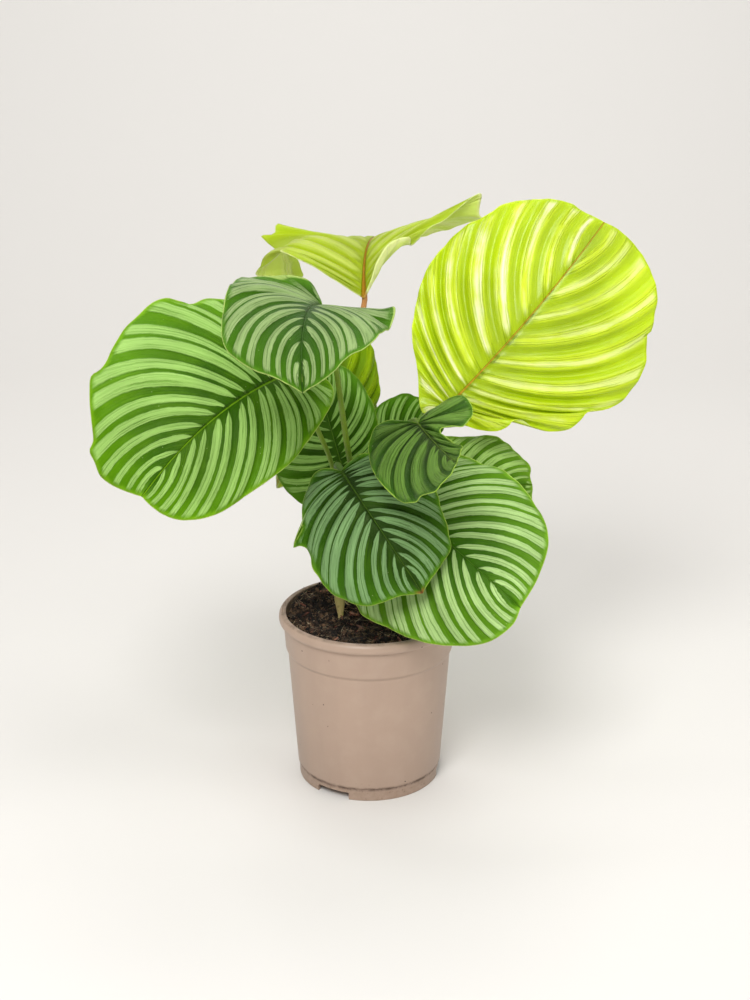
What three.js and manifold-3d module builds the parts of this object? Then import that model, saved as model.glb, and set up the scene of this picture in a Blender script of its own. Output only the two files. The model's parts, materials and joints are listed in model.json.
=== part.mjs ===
// A potted calathea: twelve pleated leaves on stems that stand in the soil of a nursery pot.
// Millimetres, +Z up. The origin is the centre of the pot's foot, and -Y is the side that is looked at.

import * as THREE from 'three';
import { mergeVertices } from 'three/addons/utils/BufferGeometryUtils.js';
import Module from 'manifold-3d';

const wasm = await Module();
wasm.setup();

// ---------------------------------------------------------------- driving dimensions

const GAP = 0.3; // clearance between pieces that touch

const POT = {
  height: 118,
  lipRadius: 60, // the 12 cm size is measured here
  lipHeight: 6.5,
  lipRound: 1.6,
  mouthRadius: 55,
  collarTopRadius: 57,
  collarBottomRadius: 55.6,
  collarHeight: 20.5,
  crease: 2, // height of the step under the collar
  bodyTopRadius: 54.2,
  bodyBottomRadius: 48.4,
  footRadius: 47.4,
  footHeight: 8.4,
  footWidth: 2.4,
  wall: 1.5,
  floorUnderside: 5,
  corner: 1.5, // between the floor and the wall, and at the pad
  padRadius: 7, // moulding pad in the middle of the floor, level with the foot
  segments: 42,
};
const FOOT_NOTCH = { directions: [-121, -1, 119], sweep: 29, height: 5.2, inner: 36, outer: 56 }; // degrees from +X
const DRAIN = { count: 6, radius: 3.2, circle: 30, first: 0.3, sides: 10 };

const SOIL = {
  top: 107,
  rings: [54.6, 42, 31, 20, 9], // radii of the surface from the wall inwards
  lumps: [{ height: 2.2, x: 0.31, y: 0.27 }, { height: 1.3, x: 0.13, y: 0.19 }],
  segments: 30,
};
const RHIZOME = { radius: 27, height: 11, top: 90, centre: [1, 13], scaleY: 0.62, around: 18, layers: 9 };

const STEM = {
  radius: 1.7,
  sides: 8,
  steps: 14,
  bottom: RHIZOME.top + 0.4,
  rootTop: 114, // straight up to here, clear of the soil
  overlap: 7, // how far it runs along under the blade
  approach: 9, // how far before the blade it has the midrib's direction
  drop: 1.5, // and how far below it is there
};
const HOLE = { clearance: 0.6, below: 4, above: 12 };

const BLADE = {
  thickness: 0.8,
  pleats: 9, // ribs on each side of the midrib
  pleatHeight: 0.9,
  pleatFade: 0.85, // share of the way out where the pleats stop getting lower
  columns: [0.3, 0.62, 0.86, 1],
  veinBend: 14, // degrees that a vein turns forward on its way to the margin, each way from its chord
  crossSteps: 8,
  curlWidth: 60,
  curlPower: 1,
  halfPhase: 0.37, // the right margin's waves start this much later
};
const OVAL = { centre: 0.47, half: 0.53, fullness: 0.9, steps: 10 }; // along the midrib, from a half-width

// ---------------------------------------------------------------- leaves

// base and tip are the ends of the midrib and facing is where the upper face looks. arch lifts the
// middle of the midrib and sweep moves it to the leaf's left. fold, curl and outline are given for the
// left and the right half: fold is the angle at which the half leaves the midrib, downwards, curl the
// angle that it gains on its way out to curlWidth, and an outline either a half-width or the points
// of the margin from the base to the tip, measured along the midrib and away from it. twist adds to
// the fold from base to tip. wave is the height, number and phase of the waves of the margin.
const LEAVES = [
  {
    name: 'left_large',
    base: [-47, -30, 289], tip: [-134, -92, 230], facing: [0.12, -0.76, 0.62],
    arch: 18, sweep: -4, fold: [0, -8], curl: [22, 8], twist: 4, wave: [2, 4, 0.1],
    outline: [
      [[-14, 8], [-18, 17], [-10, 27], [10, 38], [36, 48], [63, 49], [96, 43], [114, 30], [121, 16]],
      [[-16, -8], [-24, -24], [-20, -46], [-1, -66], [29, -76], [62, -76], [95, -68], [112, -52], [126, -24]],
    ],
    root: [-19.5, 9], via: [[-22, 3, 165], [-23, -6, 218], [-34, -16, 253]],
    colour: 0x6fae35,
  },
  {
    name: 'front_upper',
    base: [-27, -60, 338], tip: [-35, -158, 313], facing: [-0.25, -0.2, 0.95],
    arch: 17, sweep: 0, fold: [5, -30], curl: [35, 22], twist: -22, wave: [2, 3, 0.3],
    outline: [
      [[-6, 6], [-4, 18], [14, 38], [48, 44], [74, 39], [84, 26], [96, 14]],
      [[-8, -8], [-10, -30], [-7, -52], [24, -51], [54, -48], [78, -39], [92, -20]],
    ],
    root: [5, 12], via: [[1, 8, 160], [-8, -4, 205], [-13, -18, 235], [-19, -42, 291]],
    colour: 0x4d8a3e,
  },
  {
    name: 'right_large',
    base: [50, 20, 251], tip: [153, 60, 365], facing: [0.05, -0.9, 0.4],
    arch: 6, sweep: -3, fold: [0, 0], curl: [10, 10], twist: 0, wave: [2.5, 5, 0],
    outline: [
      [[-11, 6], [-9, 14], [6, 30], [26, 53], [53, 67], [82, 71], [112, 62], [134, 50], [150, 32], [155, 14]],
      [[-4, -8], [-8, -24], [4, -37], [22, -46], [35, -66], [55, -73], [83, -85], [113, -79], [140, -63],
        [157, -38], [160, -14]],
    ],
    root: [17, 14], via: [[21, 21, 150], [30, 24, 196], [37, 33, 219], [46, 38, 237]],
    colour: 0xb5d824,
  },
  {
    name: 'top',
    base: [-3, 45, 318], tip: [18, 158, 310], facing: [0, -0.05, 1],
    arch: 31, sweep: 6, fold: [-4, -30], curl: [75, 58], curlWidth: 70, curlPower: 3, twist: 0,
    wave: [3, 4, 0.2],
    outline: [
      [[6, 6], [13, 14], [20, 28], [24, 46], [30, 70], [56, 98], [88, 70], [110, 30]],
      [[14, -4], [32, -10], [50, -21], [66, -36], [78, -58], [90, -88], [104, -64], [114, -30]],
    ],
    root: [9, 25], via: [[9, 31, 145], [8, 50, 190], [3, 62, 245], [-2, 58, 292]],
    colour: 0xa9cf4e, columns: [0.25, 0.45, 0.62, 0.76, 0.89, 1],
  },
  {
    name: 'back_upper',
    base: [-12, 47, 233], tip: [-31, 56, 300], facing: [0.2, -0.9, 0.4],
    arch: 6, sweep: 0, fold: [5, 5], curl: [20, 20], twist: 0, wave: [2, 3, 0],
    outline: [26, 26],
    root: [3.5, 18.5], via: [[2, 26, 150], [-6, 40, 195]],
    colour: 0x9fc838,
  },
  {
    name: 'back_left',
    base: [-16, 12, 208], tip: [-36, 38, 276], facing: [-0.1, -0.9, 0.4],
    arch: 6, sweep: 0, fold: [5, 5], curl: [20, 20], twist: 0, wave: [2, 3, 0.5],
    outline: [40, 31],
    root: [-16, 12], via: [[-16, 13, 140], [-16, 14, 175]],
    colour: 0x3c7a2c,
  },
  {
    name: 'back_low',
    base: [-29, 34, 220], tip: [-57, 46, 187], facing: [-0.3, -0.5, 0.8],
    arch: 8, sweep: 0, fold: [5, 5], curl: [20, 20], twist: 0, wave: [2, 3, 0.5],
    outline: [22, 22],
    root: [-20, 16.5], via: [[-22, 22, 150], [-27, 30, 190]],
    colour: 0x9cc43a,
  },
  {
    name: 'back_centre',
    base: [3, 31, 211], tip: [50, 56, 236], facing: [0.1, -0.9, 0.4],
    arch: 6, sweep: 0, fold: [5, 5], curl: [20, 20], twist: 0, wave: [2, 3, 0.2],
    outline: [30, 13],
    root: [10, 18], via: [[9, 22, 145], [6, 30, 182]],
    colour: 0x35702a,
  },
  {
    name: 'curled',
    base: [30, -50, 263], tip: [50, -130, 264], facing: [-0.4, -0.1, 0.9],
    arch: -3, sweep: 0, fold: [0, 5], curl: [15, 15], twist: -30, wave: [2, 3, 0.4],
    outline: [
      [[-10, 8], [-14, 20], [-6, 34], [8, 35], [20, 26], [32, 15], [48, 11], [66, 12], [78, 7]],
      [[-9, -9], [-12, -20], [4, -33], [30, -39], [60, -37], [76, -28], [84, -11]],
    ],
    root: [11, 6], via: [[10, 7, 150], [4, 9, 195], [2, 3, 220], [10, -22, 243]],
    colour: 0x4c8a35,
  },
  {
    name: 'right_mid',
    base: [24, 2, 194], tip: [109, 30, 195], facing: [-0.1, -0.85, 0.5],
    arch: 8, sweep: 0, fold: [5, 5], curl: [20, 20], twist: 0, wave: [2.5, 4, 0.6],
    outline: [[[-8, 10], [0, 30], [22, 43], [50, 44], [74, 37], [88, 20]], 34],
    root: [23, 9.5], via: [[25, 8, 140], [26, 5, 170]],
    colour: 0x6aa23a,
  },
  {
    name: 'right_low',
    base: [15, -10, 204], tip: [92, -95, 160], facing: [-0.4, -0.6, 0.6],
    arch: 12, sweep: 0, fold: [5, 5], curl: [20, 20], twist: 0, wave: [2, 4, 0.2],
    outline: [
      [[-10, 8], [-12, 24], [0, 40], [24, 55], [51, 60], [80, 57], [106, 44], [118, 22]],
      [[-6, -8], [-8, -20], [-3, -38], [8, -58], [24, -72], [48, -72], [78, -63], [104, -49], [119, -29], [124, -10]],
    ],
    root: [17, 5], via: [[18, 4, 145], [17, 0, 178]],
    colour: 0x3f7f2e,
  },
  {
    name: 'front_centre',
    base: [-17, -38, 228], tip: [33, -85, 165], facing: [-0.1, -0.85, 0.5],
    arch: 12, sweep: 0, fold: [5, 5], curl: [25, 25], twist: 0, wave: [2, 4, 0.7],
    outline: [
      [[-3, 8], [-2, 21], [14, 38], [45, 47], [72, 37], [85, 24], [90, 9]],
      [[-9, -8], [-11, -19], [0, -33], [16, -45], [49, -50], [68, -47], [83, -32], [88, -12]],
    ],
    root: [4, 5.5], via: [[-2, 4, 145], [-13, -5, 182], [-19, -18, 208]],
    colour: 0x3d7d34,
  },
];

const COLOURS = { pot: 0xb29b8a, soil: 0x3b2a20, rhizome: 0xc9b98c, stem: 0xa9b84f };

// ---------------------------------------------------------------- helpers

const radians = THREE.MathUtils.degToRad;
const vector = (p) => new THREE.Vector3(...p);

function toSolid(geometry) {
  const bare = geometry.clone();
  bare.deleteAttribute('normal');
  bare.deleteAttribute('uv');
  const merged = mergeVertices(bare, 1e-4);
  return new wasm.Manifold(new wasm.Mesh({
    numProp: 3,
    vertProperties: new Float32Array(merged.attributes.position.array),
    triVerts: new Uint32Array(merged.index.array),
  }));
}

function toGeometry(solid) {
  const mesh = solid.getMesh();
  return indexedGeometry(mesh.vertProperties, mesh.triVerts);
}

function indexedGeometry(positions, triangles) {
  const geometry = new THREE.BufferGeometry();
  geometry.setAttribute('position', new THREE.Float32BufferAttribute(positions, 3));
  geometry.setIndex(Array.from(triangles));
  geometry.computeVertexNormals();
  return geometry;
}

// A lathe about Z from [radius, z] points.
function lathe(points, segments) {
  const geometry = new THREE.LatheGeometry(points.map((p) => new THREE.Vector2(p[0], p[1])), segments);
  return geometry.rotateX(Math.PI / 2);
}

function uprightCylinder(radius, bottom, top, x, y, sides) {
  const geometry = new THREE.CylinderGeometry(radius, radius, top - bottom, sides);
  return geometry.rotateX(Math.PI / 2).translate(x, y, (top + bottom) / 2);
}

function addMesh(group, name, geometry, colour, roughness) {
  const material = new THREE.MeshStandardMaterial({ color: colour, roughness, metalness: 0 });
  const mesh = new THREE.Mesh(geometry, material);
  mesh.name = name;
  group.add(mesh);
}

// ---------------------------------------------------------------- pot

// The wall seen in section, from the pad up the outside, over the lip and down the inside.
function potProfile() {
  const floorTop = POT.floorUnderside + POT.wall;
  const step = POT.height - POT.lipHeight - POT.collarHeight;
  const lipBottom = POT.height - POT.lipHeight;
  return [
    [0, 0],
    [POT.padRadius, 0],
    [POT.padRadius + POT.corner, POT.floorUnderside],
    [POT.footRadius - POT.footWidth, POT.floorUnderside],
    [POT.footRadius - POT.footWidth, 0],
    [POT.footRadius, 0],
    [POT.footRadius, POT.footHeight],
    [POT.bodyBottomRadius, POT.footHeight + 1],
    [POT.bodyTopRadius, step],
    [POT.collarBottomRadius, step + POT.crease],
    [POT.collarTopRadius, lipBottom],
    [POT.lipRadius - POT.lipRound / 2, lipBottom],
    [POT.lipRadius, lipBottom + POT.lipRound],
    [POT.lipRadius - POT.lipRound / 4, POT.height - POT.lipRound],
    [POT.lipRadius - POT.lipRound, POT.height],
    [POT.mouthRadius + POT.lipRound / 2, POT.height],
    [POT.mouthRadius, POT.height - POT.lipRound],
    [POT.collarTopRadius - POT.wall, lipBottom - 1],
    [POT.collarBottomRadius - POT.wall, step + POT.crease + 1],
    [POT.bodyTopRadius - POT.wall, step + 1],
    [POT.bodyBottomRadius - POT.wall, floorTop + POT.corner],
    [POT.bodyBottomRadius - POT.wall - POT.corner, floorTop],
    [0, floorTop],
  ];
}

function makePot() {
  let solid = toSolid(lathe(potProfile(), POT.segments));
  const { inner, outer, sweep } = FOOT_NOTCH;
  const width = 2 * POT.footRadius * Math.sin(radians(sweep / 2));
  for (const direction of FOOT_NOTCH.directions) {
    const notch = new THREE.BoxGeometry(outer - inner, width, 2 * FOOT_NOTCH.height);
    notch.translate((outer + inner) / 2, 0, 0);
    notch.rotateZ(radians(direction));
    solid = solid.subtract(toSolid(notch));
  }
  for (let i = 0; i < DRAIN.count; i += 1) {
    const angle = (i / DRAIN.count) * 2 * Math.PI + DRAIN.first;
    const x = DRAIN.circle * Math.cos(angle);
    const y = DRAIN.circle * Math.sin(angle);
    const hole = uprightCylinder(DRAIN.radius, 0, 2 * POT.floorUnderside, x, y, DRAIN.sides);
    solid = solid.subtract(toSolid(hole));
  }
  return toGeometry(solid);
}

// ---------------------------------------------------------------- soil and rhizome

function rhizomeGeometry(clearance) {
  const radius = RHIZOME.radius + clearance;
  const half = RHIZOME.height / 2 + clearance;
  const geometry = new THREE.SphereGeometry(1, RHIZOME.around, RHIZOME.layers).rotateX(Math.PI / 2);
  geometry.scale(radius, radius * RHIZOME.scaleY, half);
  return geometry.translate(RHIZOME.centre[0], RHIZOME.centre[1], RHIZOME.top - RHIZOME.height / 2);
}

function makeSoil() {
  const floor = POT.floorUnderside + POT.wall + GAP;
  const step = POT.height - POT.lipHeight - POT.collarHeight;
  const inset = POT.wall + GAP + 0.1; // the wall's flats lie a little inside its radius
  const side = [
    [0, floor],
    [POT.bodyBottomRadius - inset - POT.corner, floor],
    [POT.bodyBottomRadius - inset, floor + POT.corner],
    [POT.bodyTopRadius - inset, step + 1 + GAP],
    [POT.collarBottomRadius - inset, step + POT.crease + 1 + GAP],
  ];
  const surface = SOIL.rings.map((radius) => [radius, SOIL.top]);
  const geometry = lathe([...side, ...surface, [0, SOIL.top]], SOIL.segments);
  const position = geometry.attributes.position;
  for (let i = 0; i < position.count; i += 1) {
    const x = position.getX(i);
    const y = position.getY(i);
    const onSurface = position.getZ(i) > SOIL.top - 1;
    const inner = Math.hypot(x, y) < SOIL.rings[0] - 1;
    if (onSurface && inner) {
      const rise = SOIL.lumps.reduce((sum, lump) => {
        return sum + lump.height * Math.sin(x * lump.x + 1) * Math.cos(y * lump.y);
      }, 0);
      position.setZ(i, SOIL.top + rise);
    }
  }
  let solid = toSolid(geometry).subtract(toSolid(rhizomeGeometry(GAP)));
  for (const leaf of LEAVES) {
    const [x, y] = leaf.root;
    const radius = STEM.radius + HOLE.clearance;
    const hole = uprightCylinder(radius, RHIZOME.top - HOLE.below, SOIL.top + HOLE.above, x, y, STEM.sides);
    solid = solid.subtract(toSolid(hole));
  }
  return toGeometry(solid);
}

// ---------------------------------------------------------------- blades

// The leaf's frame: chord along the midrib, normal out of the upper face, left across it.
function leafFrame(leaf) {
  const base = vector(leaf.base);
  const chord = vector(leaf.tip).sub(base);
  const length = chord.length();
  chord.normalize();
  const normal = vector(leaf.facing).normalize();
  normal.addScaledVector(chord, -normal.dot(chord)).normalize();
  const left = new THREE.Vector3().crossVectors(normal, chord);
  return { base, chord, length, normal, left };
}

// Place, tangent and normal of the arched midrib.
function midribAt(leaf, frame, along) {
  const t = along / frame.length;
  const place = frame.base.clone()
    .addScaledVector(frame.chord, along)
    .addScaledVector(frame.normal, 4 * leaf.arch * t * (1 - t))
    .addScaledVector(frame.left, 4 * leaf.sweep * t * (1 - t));
  const tangent = frame.chord.clone()
    .addScaledVector(frame.normal, (4 * leaf.arch * (1 - 2 * t)) / frame.length)
    .normalize();
  const normal = new THREE.Vector3().crossVectors(tangent, frame.left).normalize();
  return { place, tangent, normal };
}

// A point of the blade, along and across the midrib, lifted off its middle surface.
function bladePoint(leaf, frame, along, across, lift) {
  const { place, normal } = midribAt(leaf, frame, along);
  const half = across >= 0 ? 0 : 1;
  const sign = across >= 0 ? 1 : -1;
  const twist = leaf.twist * (along / frame.length - 0.5) * sign;
  const width = leaf.curlWidth ?? BLADE.curlWidth;
  const power = leaf.curlPower ?? BLADE.curlPower;
  const slope = (distance) => radians(leaf.fold[half] + twist + leaf.curl[half] * (distance / width) ** power);
  const step = Math.abs(across) / BLADE.crossSteps;
  let out = 0;
  let down = 0;
  for (let i = 0; i < BLADE.crossSteps; i += 1) {
    const angle = slope((i + 0.5) * step);
    out += step * Math.cos(angle);
    down += step * Math.sin(angle);
  }
  const angle = slope(Math.abs(across));
  const face = normal.clone().multiplyScalar(Math.cos(angle)).addScaledVector(frame.left, sign * Math.sin(angle));
  return {
    face,
    point: place.addScaledVector(frame.left, sign * out).addScaledVector(normal, -down).addScaledVector(face, lift),
  };
}

// The margin of one half as a curve from the base to the tip.
function marginCurve(leaf, frame, half) {
  const sign = half === 0 ? 1 : -1;
  const given = leaf.outline[half];
  let points = given;
  if (typeof given === 'number') {
    points = [];
    for (let i = 1; i < OVAL.steps; i += 1) {
      const angle = (i / OVAL.steps) * Math.PI;
      const along = frame.length * (OVAL.centre - OVAL.half * Math.cos(angle));
      points.push([along, sign * given * Math.sin(angle) ** OVAL.fullness]);
    }
  }
  const all = [[0, 0], ...points, [frame.length, 0]];
  const curve = new THREE.SplineCurve(all.map((p) => new THREE.Vector2(p[0], p[1])));
  curve.arcLengthDivisions = 240;
  return curve;
}

// A vein leaves the midrib and bends forward to the margin: rank 0 is at the base and 1 at the tip.
function veinPoint(curve, frame, half, rank, out) {
  const margin = curve.getPointAt(rank);
  const origin = new THREE.Vector2(frame.length * (1 - Math.sqrt(Math.max(0, 1 - rank * rank))), 0);
  const reach = margin.clone().sub(origin);
  const bend = 0.5 * Math.tan(radians(BLADE.veinBend)) * (half === 0 ? 1 : -1);
  const middle = origin.clone().add(margin).multiplyScalar(0.5);
  middle.x -= bend * reach.y;
  middle.y += bend * reach.x;
  return new THREE.QuadraticBezierCurve(origin, middle, margin).getPoint(out);
}

function makeBlade(leaf) {
  const frame = leafFrame(leaf);
  const columns = leaf.columns ?? BLADE.columns;
  const rows = 2 * BLADE.pleats;
  const [height, count, phase] = leaf.wave;
  const positions = [];
  const triangles = [];

  function addPair(along, across, lift) {
    for (const side of [0.5, -0.5]) {
      const { point } = bladePoint(leaf, frame, along, across, lift + side * BLADE.thickness);
      positions.push(point.x, point.y, point.z);
    }
    return positions.length / 3 - 2; // the upper vertex, with the lower one after it
  }

  const midrib = [];
  for (let i = 0; i <= rows; i += 1) {
    const rank = i / rows;
    midrib.push(addPair(frame.length * (1 - Math.sqrt(1 - rank * rank)), 0, 0));
  }
  for (const half of [0, 1]) {
    const curve = marginCurve(leaf, frame, half);
    const start = phase + BLADE.halfPhase * half;
    const grid = midrib.map((pair, i) => {
      if (i === 0 || i === rows) {
        return [pair, ...columns.map(() => pair)];
      }
      const rank = i / rows;
      const ridge = i % 2 === 0 ? -1 : 1;
      return [pair, ...columns.map((out) => {
        const at = veinPoint(curve, frame, half, rank, out);
        const pleat = ridge * BLADE.pleatHeight * Math.sin(Math.PI * Math.min(out, BLADE.pleatFade));
        const wave = height * out * out * Math.sin(2 * Math.PI * (count * rank + start));
        return addPair(at.x, at.y, (pleat + wave) * Math.sin(Math.PI * rank));
      })];
    });
    const addTriangle = (a, b, c) => {
      if (a === b || b === c || a === c) {
        return;
      }
      triangles.push(...(half === 0 ? [a, b, c] : [a, c, b]));
    };
    for (let i = 0; i < rows; i += 1) {
      for (let j = 0; j < columns.length; j += 1) {
        const [a, b, c, d] = [grid[i][j], grid[i + 1][j], grid[i + 1][j + 1], grid[i][j + 1]];
        addTriangle(a, b, c);
        addTriangle(a, c, d);
        addTriangle(a + 1, c + 1, b + 1);
        addTriangle(a + 1, d + 1, c + 1);
      }
      const a = grid[i][columns.length];
      const b = grid[i + 1][columns.length];
      addTriangle(a, b, b + 1);
      addTriangle(a, b + 1, a + 1);
    }
  }
  return indexedGeometry(positions, triangles);
}

// ---------------------------------------------------------------- stems

// A stem rises out of its hole and ends under the base of its blade, alongside the midrib.
function makeStem(leaf) {
  const frame = leafFrame(leaf);
  const { place, tangent, normal } = midribAt(leaf, frame, 0);
  const under = STEM.radius + BLADE.thickness / 2 + GAP + 0.1;
  const end = place.clone().addScaledVector(normal, -under).addScaledVector(tangent, STEM.overlap);
  const approach = place.clone()
    .addScaledVector(normal, -under - STEM.drop)
    .addScaledVector(tangent, -STEM.approach);
  const [x, y] = leaf.root;
  const points = [
    new THREE.Vector3(x, y, STEM.bottom),
    new THREE.Vector3(x, y, STEM.rootTop),
    ...leaf.via.map(vector),
    approach,
    end,
  ];
  const section = new THREE.Shape(
    Array.from({ length: STEM.sides }, (_, i) => {
      const angle = ((i + 0.5) / STEM.sides) * 2 * Math.PI;
      return new THREE.Vector2(STEM.radius * Math.cos(angle), STEM.radius * Math.sin(angle));
    }),
  );
  return new THREE.ExtrudeGeometry(section, {
    steps: STEM.steps,
    curveSegments: 1,
    bevelEnabled: false,
    extrudePath: new THREE.CatmullRomCurve3(points, false, 'centripetal'),
  });
}

// ---------------------------------------------------------------- assembly

const plant = new THREE.Group();
addMesh(plant, 'pot', makePot(), COLOURS.pot, 0.5);
addMesh(plant, 'soil', makeSoil(), COLOURS.soil, 1);
addMesh(plant, 'rhizome', rhizomeGeometry(0), COLOURS.rhizome, 0.8);
for (const leaf of LEAVES) {
  addMesh(plant, `stem_${leaf.name}`, makeStem(leaf), COLOURS.stem, 0.5);
  addMesh(plant, `blade_${leaf.name}`, makeBlade(leaf), leaf.colour, 0.4);
}

export default plant;
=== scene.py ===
"""A potted calathea: striped, pleated leaves on stalks that stand in the soil of a nursery pot.

Lengths in the tables are millimetres, apart from the stage's. Everything that is built is in metres, +Z up,
with the origin at the centre of the pot's foot.
"""

import itertools
import json
import math
import random

import bpy
import numpy as np
from bpy.props import FloatProperty, FloatVectorProperty, IntProperty, PointerProperty
from mathutils import Matrix, Vector, kdtree, noise

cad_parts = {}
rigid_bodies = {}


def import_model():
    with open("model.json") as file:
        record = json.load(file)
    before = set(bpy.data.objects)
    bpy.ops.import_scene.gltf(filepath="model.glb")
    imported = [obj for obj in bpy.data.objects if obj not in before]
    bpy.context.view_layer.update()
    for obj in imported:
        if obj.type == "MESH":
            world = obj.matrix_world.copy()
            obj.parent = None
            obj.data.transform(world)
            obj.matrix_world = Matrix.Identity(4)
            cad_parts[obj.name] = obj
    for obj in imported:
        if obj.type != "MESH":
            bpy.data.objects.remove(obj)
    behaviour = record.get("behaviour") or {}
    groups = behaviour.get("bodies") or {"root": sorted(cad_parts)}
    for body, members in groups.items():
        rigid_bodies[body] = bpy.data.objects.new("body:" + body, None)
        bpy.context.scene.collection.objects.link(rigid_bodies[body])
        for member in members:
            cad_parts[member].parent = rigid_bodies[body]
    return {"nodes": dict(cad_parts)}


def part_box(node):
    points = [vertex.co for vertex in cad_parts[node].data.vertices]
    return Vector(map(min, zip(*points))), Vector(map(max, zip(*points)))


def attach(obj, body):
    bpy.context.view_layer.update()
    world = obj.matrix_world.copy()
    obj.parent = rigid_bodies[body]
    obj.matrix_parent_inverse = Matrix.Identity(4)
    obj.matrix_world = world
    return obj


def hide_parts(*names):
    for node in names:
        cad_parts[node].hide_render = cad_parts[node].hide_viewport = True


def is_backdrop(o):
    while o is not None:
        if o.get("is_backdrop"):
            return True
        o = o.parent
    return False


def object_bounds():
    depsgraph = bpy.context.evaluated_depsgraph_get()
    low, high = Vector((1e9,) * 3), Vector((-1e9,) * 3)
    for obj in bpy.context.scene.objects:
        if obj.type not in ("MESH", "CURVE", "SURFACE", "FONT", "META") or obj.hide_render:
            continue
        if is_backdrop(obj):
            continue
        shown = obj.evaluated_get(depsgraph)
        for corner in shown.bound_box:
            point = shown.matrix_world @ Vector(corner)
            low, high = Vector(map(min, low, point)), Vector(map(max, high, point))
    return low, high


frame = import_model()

bl_info = {
    "name": "Potted Calathea",
    "version": (1, 0, 0),
    "blender": (4, 5, 0),
    "location": "3D View > Sidebar > Calathea",
    "description": "Builds a calathea with striped leaves in a nursery pot",
    "category": "Add Mesh",
}

CAD_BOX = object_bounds()
MM = 0.001

# ---------------------------------------------------------------- leaves, in mm and degrees

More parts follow.
